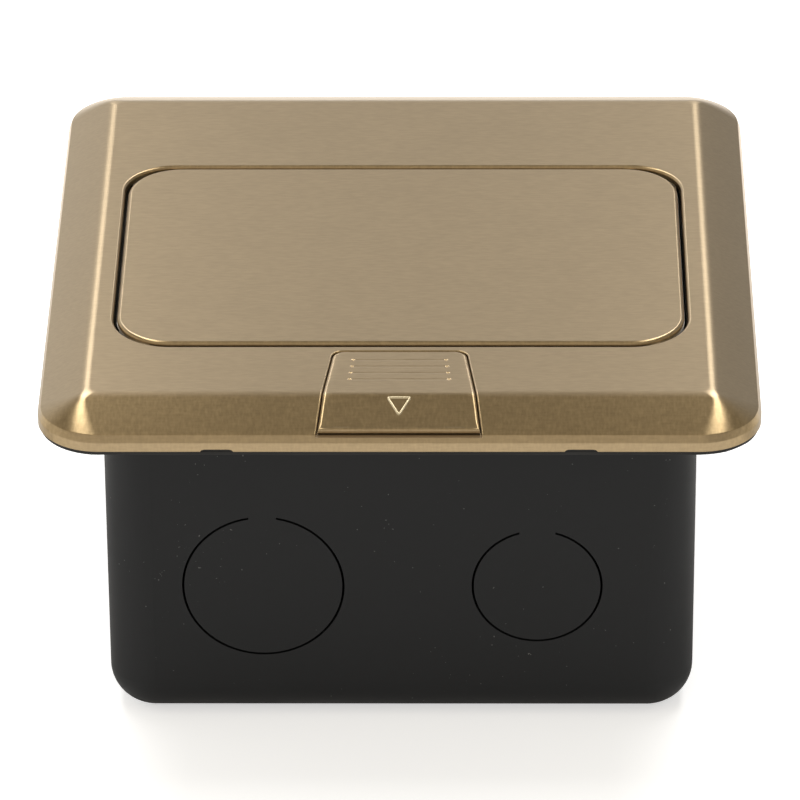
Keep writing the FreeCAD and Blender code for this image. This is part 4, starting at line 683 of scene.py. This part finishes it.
def add_wedges(shape, half, near, far, side, end):
    """A wedge through the skirt's foot between two distances in from its face, in millimetres."""
    spots = half + [(-x, z) for x, z in reversed(half)]
    rings = []
    for depth in (near, far):
        y = end * (PLATE_HALF - depth * MM)
        rings.append([shape.verts.new((side * NOTCH_X + x * MM, y, SKIRT_FOOT + z * MM))
                      for x, z in spots])
    loft(shape, rings)
    return shape

notches = [add_wedges(bmesh.new(), NOTCH, 2.2, -1, side, end) for side in (-1, 1) for end in (-1, 1)]
print("four notches,", 2 * NOTCH[0][0], "mm wide")

# %% [markdown]
# The shell is one loft: the profile outside, then three rings for the inner face of the sheet. After
# the cuts, four tapped posts are added under it for the chassis screws.

# %% Cover plate
POST_SPOTS = [mm(-30.0, -42.475), mm(-38.0, 37.725), mm(30.0, -42.475), mm(38.0, 37.725)]
POST, POST_EASE, BORE, BORE_DEPTH, WELD = mm(3.0, 0.3, 1.6, 5, 0.2)

shape = bmesh.new()
inside = PLATE_HALF - SHEET
under = [(inside, SKIRT_FOOT), (inside, SKIRT_FOOT + 1.6 * MM),
         (CREASE_FRONT - SHEET / 2, FLAT_TOP - SHEET)]
rows = PROFILE + [(half, half, height, max(0.5 * MM, SKIRT_CORNER - (PLATE_HALF - half)))
                  for half, height in under]
rings = [add_ring(shape, rounded_outline(-side, side, -front, front, radius), height)
         for side, front, height, radius in rows]
loft(shape, list(reversed(rings)))
bmesh.ops.recalc_face_normals(shape, faces=shape.faces)
shell = mesh_from("plate_shell", shape)
whole = bmesh.new()
whole.from_mesh(cut_away(shell, [opening, cutout, *notches]))
drop = FLAT_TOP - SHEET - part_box("cover_plate")[0].z
for x, y in POST_SPOTS:
    lathe(whole, [(-WELD, POST), (drop - POST_EASE, POST), (drop, POST - POST_EASE), (drop, BORE),
                  (drop - BORE_DEPTH, BORE)], (x, y, FLAT_TOP - SHEET), (0, 0, -1))
cover_plate = make_piece("cover_plate_sheet", whole, plate_finish, "root", "cover_plate", sharp=25)
print("cover plate with", len(cover_plate.data.polygons), "faces")

# %% [markdown]
# The lid is a flat sheet with a soft edge all round. Six studs are welded under it: four for the
# carrier's cheeks and two for the keeper. Rings by turns wide and narrow read as a thread.

# %% Lid
LID_ROUND, LID_EASE = mm(0.7, 0.12)
LID_STUDS = [(-32.3, -19.0), (-32.3, 13.4), (32.3, -19.0), (32.3, 13.4), (-3.6, -29.6), (3.6, -29.6)]
STUD, STUD_ROOT, STUD_TIP, STUD_PITCH = mm(1.5, 1.32, 1.2, 0.5)

shape = bmesh.new()
rings = []
for inset, drop in edge_round(LID_ROUND, 8) + [(0, SHEET - LID_EASE), (LID_EASE, SHEET)]:
    outline = rounded_outline(-LID_X + inset, LID_X - inset, LID_FRONT + inset, LID_REAR - inset,
                              LID_CORNER - inset)
    rings.append(add_ring(shape, outline, FLAT_TOP - drop))
loft(shape, list(reversed(rings)))
length = FLAT_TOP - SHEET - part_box("lid_plate")[0].z
thread = thread_steps(length - STUD_PITCH, STUD_PITCH, STUD, STUD_ROOT)
for x, y in LID_STUDS:
    lathe(shape, [(-0.1 * MM, STUD), *thread, (length, STUD_TIP)],
          (x * MM, y * MM, FLAT_TOP - SHEET), (0, 0, -1), 16)
lid = make_piece("lid_sheet", shape, plate_finish, "lid", "lid_plate", sharp=28)
print("lid with", len(lid.data.polygons), "faces")

# %% [markdown]
# The button carries on the plate's flat and slope, over a tighter crease. Four shallow grip lines
# with small punched ends run across it. Crease and lines are written as a height for any spot, so
# that one grid of faces can follow them.

# %% Height of the button's top
BUTTON_CREASE = 0.5 * MM
GRIP_LINES = [BUTTON_REAR - (2.9 + 2.12 * k) * MM for k in range(4)]
GRIP_REACH, GRIP_WIDTH, GRIP_DEPTH, PUNCH_DEPTH = 0.72, 0.28 * MM, 0.05 * MM, 0.16 * MM


def button_height(y):
    """The button's top: flat, a tight crease, then the slope."""
    past = -y - CREASE_FRONT
    if past < -BUTTON_CREASE:
        return FLAT_TOP
    if past > BUTTON_CREASE:
        return FLAT_TOP - past * math.tan(SLOPE)
    return FLAT_TOP - math.tan(SLOPE) * (past + BUTTON_CREASE) ** 2 / (4 * BUTTON_CREASE)


def grip_dip(u, y):
    """Depth of the grip lines, where u runs from -1 to 1 across the button."""
    dip = 0.0
    for line in GRIP_LINES:
        uneven = 0.75 + 0.35 * math.sin(u * 23 + line * 9000)
        across = max(0.0, 1 - ((y - line) / GRIP_WIDTH) ** 2) * uneven
        if abs(u) < GRIP_REACH:
            dip = max(dip, GRIP_DEPTH * across)
        end = (abs(u) - GRIP_REACH) * BUTTON_HALF
        punched = 1 - (end * end + (y - line) ** 2) / GRIP_WIDTH ** 2
        dip = max(dip, PUNCH_DEPTH * punched)
    return dip


print(len(GRIP_LINES), "grip lines")

# %% [markdown]
# The grid is finer where the grip lines and the crease are. Its rows run from the rear edge to the
# lip, and the first of them follow the rounded rear corners.

# %% Grid of the button's top
BUTTON_CORNER, ROW_STEP = mm(1.7, 0.11)
RIM_SIDE, RIM_REAR, RIM_LIP, RIM_DROP = mm(0.6, 0.3, 0.35, 0.34)
GRID_REAR, GRID_LIP = BUTTON_REAR - RIM_REAR, BUTTON_LIP + RIM_LIP


def evenly(start, goal, count):
    """Values in even steps up to a goal, without the start."""
    return [start + (goal - start) * k / count for k in range(1, count + 1)]


def grid_rows():
    rows = [GRID_REAR - BUTTON_CORNER * (1 - math.cos(math.pi / 2 * k / 10)) for k in range(11)]
    count = int((rows[-1] - GRIP_LINES[-1] + 0.5 * MM) / ROW_STEP)
    rows += evenly(rows[-1], rows[-1] - ROW_STEP * count, count)
    rows += evenly(rows[-1], -CREASE_FRONT + 0.6 * MM, 6)
    rows += evenly(rows[-1], -CREASE_FRONT - 0.6 * MM, 8)
    return rows + evenly(rows[-1], GRID_LIP, 14)


def grid_columns():
    fine = [GRIP_REACH + (k - 5) * 0.009 for k in range(11)]
    right = [0.2, 0.4, 0.55] + fine + [0.8, 0.9, 1.0]
    return [-u for u in reversed(right)] + [0.0] + right


def button_grid(shape):
    """Rows of vertices over the button's top, joined by faces."""
    grid = []
    for y in grid_rows():
        half = button_half(y) - RIM_SIDE
        into = BUTTON_CORNER - (GRID_REAR - y)
        if into > 0:
            half += math.sqrt(max(0.0, BUTTON_CORNER ** 2 - into ** 2)) - BUTTON_CORNER
        grid.append([shape.verts.new((u * half, y, button_height(y) - grip_dip(u, y)))
                     for u in grid_columns()])
    for upper, lower in zip(grid, grid[1:]):
        bridge(shape, upper, lower, closed=False)
    return grid


print("a grid of", len(grid_rows()), "rows and", len(grid_columns()), "columns")

# %% [markdown]
# From the edge of the grid the rim turns down all round. It is wide at the sides, where it catches
# the light, and narrow behind and at the lip. Two posts under the button take the slider's screws.

# %% Button
RIM_STEPS = 6
BUTTON_SKIRT, BUTTON_FOOT = mm(0.9, 62.0)
BUTTON_POST, BUTTON_POST_X, BUTTON_POST_Y = mm(2.0, 8.0, -49.9)


def rim_reaches(spots):
    """How far the rim runs out at each spot; at the two front corners it runs out both ways."""
    widest = max(spot.x for spot in spots)
    reaches = []
    for k, spot in enumerate(spots):
        run = spots[(k + 1) % len(spots)] - spots[k - 1]
        way = Vector((-run.y, run.x, 0)).normalized()
        width = RIM_SIDE * abs(way.x) + RIM_REAR * max(0.0, way.y) + RIM_LIP * max(0.0, -way.y)
        at_corner = abs(spot.y - GRID_LIP) < 1e-9 and abs(abs(spot.x) - widest) < 1e-9
        both_ways = Vector((math.copysign(RIM_SIDE, spot.x), -RIM_LIP, 0))
        reaches.append(both_ways if at_corner else way * width)
    return reaches


shape = bmesh.new()
grid = button_grid(shape)
rim = grid[0] + [row[-1] for row in grid[1:]] + list(reversed(grid[-1][:-1]))
rim += [row[0] for row in reversed(grid[1:-1])]
spots = [vertex.co.copy() for vertex in rim]
reaches = rim_reaches(spots)
for j in range(1, RIM_STEPS + 1):
    turn = math.pi / 2 * j / RIM_STEPS
    down = Vector((0, 0, RIM_DROP * (1 - math.cos(turn))))
    ring = [shape.verts.new(spot + out * math.sin(turn) - down) for spot, out in zip(spots, reaches)]
    bridge(shape, rim, ring)
    rim = ring
low = [shape.verts.new((v.co.x, v.co.y, max(v.co.z - BUTTON_SKIRT, BUTTON_FOOT))) for v in rim]
bridge(shape, rim, low)
shape.faces.new(low)
for side in (-1, 1):
    place = (side * BUTTON_POST_X, BUTTON_POST_Y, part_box("slider_screws")[1].z)
    lathe(shape, [(-BUTTON_SKIRT, BUTTON_POST), (2.0 * MM, BUTTON_POST)], place, (0, 0, -1), 20)
button = make_piece("button_pressing", shape, plate_finish, "button", "button_cap", sharp=40)
print("button with", len(button.data.polygons), "faces")

# %% [markdown]
# The arrowhead is a fine raised outline on the slope that points to the lip. It is a wire, half sunk
# in the surface and bent round a triangle with eased corners.

# %% Arrow mark
MARK_CENTRE_Y, MARK_WIDTH, MARK_LENGTH, MARK_WIRE = mm(-54.2, 3.75, 3.25, 0.2)

half, tip = MARK_WIDTH / 2, MARK_LENGTH / 2
corners = [Vector((-half, tip)), Vector((half, tip)), Vector((0, -tip))]
path = []
for k, here in enumerate(corners):
    start, end = here.lerp(corners[k - 1], 0.1), here.lerp(corners[(k + 1) % 3], 0.1)
    for t in (0, 0.25, 0.5, 0.75, 1):
        path.append((1 - t) ** 2 * start + 2 * t * (1 - t) * here + t * t * end)
shape = bmesh.new()
rings = []
for k, spot in enumerate(path):
    run = (path[(k + 1) % len(path)] - path[k - 1]).normalized()
    out = Vector((run.y, -run.x))
    ring = []
    for j in range(8):
        turn = math.tau * j / 8
        flat = spot + out * MARK_WIRE * math.cos(turn)
        y = MARK_CENTRE_Y + flat.y
        ring.append(shape.verts.new((flat.x, y, button_height(y) + MARK_WIRE * 0.8 * math.sin(turn))))
    rings.append(ring)
hoop(shape, rings)
arrow_mark = make_piece("arrow_mark", shape, mark_finish, "button")
print("arrow mark", MARK_WIDTH / MM, "mm wide")

# %% [markdown]
# The gasket is a soft black strip under the skirt. It shows as a thin line that isn't quite even, so
# its outer edge wanders by a few hundredths of a millimetre. Its section is a list of rows, and each
# row becomes a ring round the whole box. Four tabs stand up into the notches.

# %% Gasket
GASKET_SWAY = 0.05 * MM


def gasket_section(low, high):
    """(half width, height) of each ring, once round the section of the strip."""
    rows = [(3.4, low.z, 0.1), (3.4, low.z, 0), (0.35, low.z, 0), (0.1, low.z, 0.12), (0, low.z, 0.35),
            (0, SKIRT_FOOT, -0.05), (0.15, SKIRT_FOOT, 0), (1.2, SKIRT_FOOT, 0),
            (1.3, high.z, 0), (4.9, high.z, 0), (4.9, low.z, 0.1)]
    return [(high.x - into * MM, level + up * MM) for into, level, up in rows]


def gasket_outline(half):
    """Points round the strip, with its straight sides divided."""
    points = rounded_outline(-half, half, -half, half, SKIRT_CORNER - PLATE_HALF + half, 14)
    dense = []
    for (x0, y0), (x1, y1) in zip(points, points[1:] + points[:1]):
        pieces = 24 if math.hypot(x1 - x0, y1 - y0) > 20 * MM else 1
        dense += [(x0 + (x1 - x0) * k / pieces, y0 + (y1 - y0) * k / pieces) for k in range(pieces)]
    return dense


low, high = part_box("gasket")
shape = bmesh.new()
rings = []
for half, height in gasket_section(low, high):
    points = gasket_outline(half)
    if height < SKIRT_FOOT - 0.1 * MM and half > high.x - 1.2 * MM:
        sway = [math.sin(x * 310) * math.cos(y * 270 + 1) + 0.6 * math.sin(x * 903 + y * 640)
                for x, y in points]
        height = [max(low.z, height + GASKET_SWAY * part) for part in sway]
    rings.append(add_ring(shape, points, height))
hoop(shape, rings)
for side in (-1, 1):
    for end in (-1, 1):
        add_wedges(shape, TAB, 0.35, 0.9, side, end)
gasket = make_piece("gasket_strip", shape, rubber_finish, "root", "gasket")
print("gasket with", len(gasket.data.polygons), "faces")

# %% [markdown]
# Springs are wire. A hinge spring has a leg under the lid, a close coil round the rod and a leg down
# to the chassis. The others are plain coils that fill their boxes, wound closer at their ends.

# %% Paths of the springs
HINGE_WIRE, HINGE_TURNS = 0.85 * MM, 3.25


def hinge_spring_path(low, high, side):
    """Points along the wire, and the spots where its fixed and its moving end sit on the axis."""
    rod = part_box("hinge_rod")
    axis_y = rod[0].y / 2 + rod[1].y / 2
    axis_z = rod[0].z / 2 + rod[1].z / 2
    reach = high.z - HINGE_WIRE / 2 - axis_z
    near, far = (high.x, low.x) if side < 0 else (low.x, high.x)
    near, far = near + side * HINGE_WIRE / 2, far - side * HINGE_WIRE / 2
    path = [Vector((near, low.y + HINGE_WIRE / 2 + (axis_y - low.y) * k / 8, axis_z + reach))
            for k in range(8)]
    steps = int(HINGE_TURNS * 20)
    for k in range(steps + 1):
        turn = math.pi / 2 - math.tau * HINGE_TURNS * k / steps
        path.append(Vector((near + (far - near) * k / steps, axis_y + reach * math.cos(turn),
                            axis_z + reach * math.sin(turn))))
    foot = path[-1]
    path += [Vector((foot.x, foot.y, foot.z + (low.z - foot.z) * k / 5)) for k in range(1, 6)]
    return path, (far, axis_y, axis_z), (near, axis_y, axis_z)


def coil_path(low, high, axis, wire, turns):
    """A coil that fills a box, along axis 0 (x), 1 (y) or 2 (z), with closed ends."""
    middle = (low + high) / 2
    first, second = [k for k in range(3) if k != axis]
    radius = (high[first] - low[first]) / 2 - wire / 2
    path = []
    steps = int(turns * 16)
    for k in range(steps + 1):
        share = k / steps
        settled = share * share * (3 - 2 * share) * 0.35 + share * 0.65
        spot = middle.copy()
        spot[axis] = low[axis] + wire / 2 + (high[axis] - low[axis] - wire) * settled
        spot[first] += radius * math.cos(math.tau * turns * share)
        spot[second] += radius * math.sin(math.tau * turns * share)
        path.append(spot)
    return path


print("paths for hinge springs and coils")

# %% [markdown]
# The wire is a small circle swept along the path.


# %% Springs
def sweep_wire(shape, path, radius, sides=8):
    """A round wire along a path of points, with flat ends."""
    rings = []
    across = (path[1] - path[0]).normalized().orthogonal().normalized()
    for k, spot in enumerate(path):
        run = (path[min(k + 1, len(path) - 1)] - path[max(k - 1, 0)]).normalized()
        across = (across - run * across.dot(run)).normalized()
        other = run.cross(across)
        turns = [math.tau * j / sides for j in range(sides)]
        rings.append([shape.verts.new(spot + radius * (across * math.cos(t) + other * math.sin(t)))
                      for t in turns])
    loft(shape, rings)


def make_spring(name, path, wire, bodies, start, end, node):
    shape = bmesh.new()
    sweep_wire(shape, path, wire / 2)
    piece = make_piece(name, shape, spring_finish, None, node, sharp=60)
    piece.modifiers.clear()
    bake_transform(piece)


def make_coil(name, node, bodies, axis, wire, turns, start, end):
    """A coil spring; start and end give shares from low to high for its two ends, but the spots made
    from them are not used.
    """
    low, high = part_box(node)
    spots = [[low[k] + (high[k] - low[k]) * share[k] for k in range(3)] for share in (start, end)]
    make_spring(name, coil_path(low, high, axis, wire, turns), wire, bodies, *spots, node)


for word, side in (("left", -1), ("right", 1)):
    node = "hinge_spring_" + word
    path, fixed, moving = hinge_spring_path(*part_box(node), side)
    make_spring("torsion_" + word, path, HINGE_WIRE, ("root", "lid"), fixed, moving, node)
    make_coil("return_" + word, "button_spring_" + word, ("root", "button"), 1, 0.35 * MM, 6.5,
              (0.5, 0, 0.5), (0.5, 1, 0.5))
make_coil("shutter_coil", "shutter_spring", ("lid", "outlet_shutter"), 0, 0.22 * MM, 13,
          (0, 0, 0), (1, 0, 0))
make_coil("jack_coil", "jack_spring", ("lid", "data_shutter"), 2, 0.18 * MM, 15, (1, 1, 1), (1, 1, 0))
print("two hinge springs, two button springs and a spring for each shutter")

# %% [markdown]
# The screws are measured from their solids. A node can hold several screws, so it is first split into
# its loose parts. The round outline of a part gives its axis, and its wide end is the head.


# %% Measure the screws
def loose_parts(node):
    """Points of each separate piece in a node, in the shared frame."""
    shape = bmesh.new()
    shape.from_mesh(nodes[node].data)
    shape.transform(nodes[node].matrix_world)
    bmesh.ops.remove_doubles(shape, verts=shape.verts, dist=2e-6)
    left, parts = set(shape.verts), []
    while left:
        edge, part = [left.pop()], []
        while edge:
            vertex = edge.pop()
            part.append(vertex.co.copy())
            for link in vertex.link_edges:
                other = link.other_vert(vertex)
                if other in left:
                    left.discard(other)
                    edge.append(other)
        parts.append(part)
    shape.free()
    return parts


def measure_turned(points):
    """Axis, middle line, radii and ends of a turned piece: the two equal sizes are its diameter."""
    low = Vector([min(p[k] for p in points) for k in range(3)])
    high = Vector([max(p[k] for p in points) for k in range(3)])
    size = high - low
    axis = min(range(3), key=lambda k: abs(size[(k + 1) % 3] - size[(k + 2) % 3]))
    middle = (low + high) / 2
    radius = size[(axis + 1) % 3] / 2

    def off(point):
        gap = point - middle
        gap[axis] = 0
        return gap.length

    wide = [p[axis] for p in points if off(p) > 0.9 * radius]
    head_up = (max(wide) + min(wide)) / 2 > middle[axis]
    way = Vector([0, 0, 0])
    way[axis] = -1 if head_up else 1
    tip = low[axis] if head_up else high[axis]
    slim = max(off(p) for p in points if abs(p[axis] - tip) < 0.02 * MM)
    seat = middle.copy()
    seat[axis] = min(wide) if head_up else max(wide)
    return seat, way, radius, max(wide) - min(wide), slim, abs(tip - seat[axis])


print("box screws:", len(loose_parts("box_screws")))

# %% [markdown]
# A new screw has a pan head with a cross recess and a thread. Rivets get a dome, and pins get
# chamfered ends. The recess is a tapered cross, cut out of all the heads of a node at once.

# %% Screws, rivets and pins
DOME = ((-1, 0.4), (-0.94, 0.66), (-0.78, 0.86), (-0.5, 0.97), (-0.25, 1), (-0.05, 1), (0, 0.95))
CHAMFER = 0.15
RECESS_ARM, RECESS_HALF = 0.6, 0.13


def add_recess(cross, seat, way, head, tall):
    turn = Vector((0, 0, 1)).rotation_difference(way).to_matrix()
    a, b = RECESS_ARM * head, RECESS_HALF * head
    plus = [(a, -b), (a, b), (b, b), (b, a), (-b, a), (-b, b), (-a, b), (-a, -b), (-b, -b), (-b, -a),
            (b, -a), (b, -b)]
    rings = []
    for along, scale in ((-1.3 * tall, 1.0), (-0.9 * tall, 1.0), (-0.35 * tall, 0.55)):
        rings.append([cross.verts.new(seat + turn @ Vector((x * scale, y * scale, along)))
                      for x, y in plus])
    loft(cross, rings)


def add_screw(shape, cross, points, kind):
    seat, way, head, tall, shank, length = measure_turned(points)
    if kind == "pin":
        ends = [(-tall, 0.8 * head), (-tall + CHAMFER * MM, head), (-CHAMFER * head, head),
                (0, 0.8 * head)]
        lathe(shape, ends, seat, way)
        return
    dome = [(along * tall, wide * head) for along, wide in DOME] + [(0, shank)]
    if kind == "rivet" or length < 0.6 * MM:
        lathe(shape, dome + [(length, shank)], seat, way)
        return
    thread = thread_steps(length - 0.5 * shank, 0.45 * shank, shank, 0.84 * shank)
    lathe(shape, dome + thread + [(length, 0.6 * shank)], seat, way)
    add_recess(cross, seat, way, head, tall)


def make_screws(node, finish, body, kind="screw"):
    shape, cross = bmesh.new(), bmesh.new()
    for points in loose_parts(node):
        add_screw(shape, cross, points, kind)
    bmesh.ops.recalc_face_normals(shape, faces=shape.faces)
    if len(cross.verts):
        mesh = cut_away(mesh_from(node, shape), [cross])
        return place_piece(node + "_turned", mesh, finish, body, node, sharp=35)
    cross.free()
    return make_piece(node + "_turned", shape, finish, body, node, sharp=35)


for node, body in (("box_screws", "root"), ("chassis_screws", "root"), ("bracket_screws", "root"),
                   ("guide_screws", "root"), ("slider_screws", "button"), ("clamp_screws", "lid"),
                   ("terminal_screws", "lid")):
    make_screws(node, screw_finish, body)
make_screws("earth_screw", contact_finish, "root")
make_screws("tongue_rivets", screw_finish, "button", "rivet")
make_screws("carrier_rivets", screw_finish, "lid", "rivet")
make_screws("stop_pins", screw_finish, "lid", "pin")
print("screws, rivets and pins")

# %% [markdown]
# The stage is a pale floor. A bright studio would light it evenly up to the horizon, so it is lifted
# a little by its own glow where the camera sees it. The glow also shows in shiny metal, but only well
# behind the object and close in front of it, so that the sides of the box stay dark.

# %% Floor
FLOOR_RADIUS, FLOOR_SINK = 6.0, 0.1 * MM
FLOOR_GLOW, FRONT_GLOSS = 0.56, 0.39

shape = bmesh.new()
bmesh.ops.create_circle(shape, cap_ends=True, segments=96, radius=FLOOR_RADIUS)
floor = add_object("studio_floor", mesh_from("studio_floor", shape))
floor.location.z = -FLOOR_SINK
finish, tree, shader, position = new_finish("pale_floor", (0.9, 0.9, 0.9), Roughness=0.9)
seen = add_node(tree, "LightPath").outputs
depth = split(tree, position)[1]
around = math_node(tree, "ADD", remap(tree, depth, 0.08, 0.2),
                   remap(tree, depth, -0.042, -0.06, 0.0, FRONT_GLOSS))
mirrored = times(tree, seen["Is Glossy Ray"], around)
straight = math_node(tree, "MAXIMUM", seen["Is Camera Ray"], seen["Is Transmission Ray"])
lift = math_node(tree, "ADD", times(tree, straight, FLOOR_GLOW), mirrored)
shader.inputs["Emission Color"].default_value = (1.0, 1.0, 1.0, 1.0)
link_in(tree, lift, shader, "Emission Strength")
floor.data.materials.append(finish)
print("floor of", FLOOR_RADIUS, "m radius")

# %% [markdown]
# The sky is white near the ground and dimmer and warmer overhead, which gives the brass its darker
# front slope. It is a little dimmer in front, and falls off from left to right.

# %% Sky
OVERHEAD, FRONT, MIDDLE, RIGHT = 0.26, 0.72, 0.82, 0.58
WARM_TINT = (1.0, 0.93, 0.80)

world = bpy.data.worlds.new("studio_sky")
bpy.context.scene.world = world
world.use_nodes = True
tree = world.node_tree
x, y, z = split(tree, add_node(tree, "TexCoord").outputs["Generated"])
overhead = remap(tree, z, 0.53, 0.8)
warm = math_node(tree, "MAXIMUM", overhead, remap(tree, y, 0.1, -0.4))
dark = times(tree, overhead, remap(tree, y, -0.4, -0.05, 0.0, 1.0 - OVERHEAD))
height = math_node(tree, "SUBTRACT", 1.0, dark)
before = remap(tree, y, 0.1, -0.4, 1.0, FRONT)
sides = times(tree, remap(tree, x, -0.3, -0.1, 1.0, MIDDLE), remap(tree, x, 0.12, 0.3, 1.0, RIGHT))
level = math_node(tree, "MINIMUM", math_node(tree, "MINIMUM", height, before), sides)
background = tree.nodes["Background"]
tree.links.new(mix_colours(tree, warm, (1.0, 1.0, 1.0), WARM_TINT), background.inputs["Color"])
tree.links.new(level, background.inputs["Strength"])
print("world", world.name)

# %% [markdown]
# Two long strip lamps hang above and behind the object, tilted in to its middle line. The brass
# mirrors them as bright lines along its rounded creases.

# %% Strip lamps
STRIP_WIDTH, STRIP_LENGTH, STRIP_POWER = 0.25, 1.3, 6.6
STRIP_SIDE, STRIP_BACK, STRIP_RISE = 0.34, 0.7, 1.0


def add_strip(side):
    """A long lamp that runs from front to back and faces the middle line."""
    lamp = bpy.data.lights.new(f"strip_lamp_{side}", "AREA")
    lamp.shape = "RECTANGLE"
    lamp.size, lamp.size_y = STRIP_WIDTH, STRIP_LENGTH
    lamp.energy = STRIP_POWER
    place = Vector((side * STRIP_SIDE, STRIP_BACK, STRIP_RISE + FLAT_TOP))
    away = (place - Vector((0, STRIP_BACK, FLAT_TOP))).normalized()
    across = Vector((0, 1, 0)).cross(away).normalized()
    turn = Matrix((across, away.cross(across), away)).transposed()
    holder = add_object(lamp.name, lamp)
    holder.matrix_world = Matrix.Translation(place) @ turn.to_4x4()


for side in (-1, 1):
    add_strip(side)
print("two strip lamps")

# %% [markdown]
# A long lens from the front, about thirty degrees above the floor, gives the flat, nearly parallel
# view of a catalogue picture. The camera is turned by its bearing, its height angle and a small roll.

# %% Camera
CAMERA_PLACE = Vector((12.02, -983.47, 612.8)) * MM
CAMERA_BEARING, CAMERA_HEIGHT, CAMERA_ROLL = [math.radians(turn) for turn in (0.73, 30.48, -0.37)]
LENS = 294.546

data = bpy.data.cameras.new("camera")
camera = add_object("camera", data)
level, rise = math.cos(CAMERA_HEIGHT), math.sin(CAMERA_HEIGHT)
back = Vector((math.sin(CAMERA_BEARING) * level, -math.cos(CAMERA_BEARING) * level, rise))
right = Vector((math.cos(CAMERA_BEARING), math.sin(CAMERA_BEARING), 0))
up = back.cross(right)
side = right * math.cos(CAMERA_ROLL) + up * math.sin(CAMERA_ROLL)
top = up * math.cos(CAMERA_ROLL) - right * math.sin(CAMERA_ROLL)
turn = Matrix((side, top, back)).transposed().to_4x4()
camera.matrix_world = Matrix.Translation(CAMERA_PLACE) @ turn
data.lens = LENS
data.sensor_width = 36.0
data.clip_start, data.clip_end = 0.05, 20.0
bpy.context.scene.camera = camera
bpy.context.scene.view_settings.view_transform = "Standard"
print("camera with a", round(LENS), "mm lens")
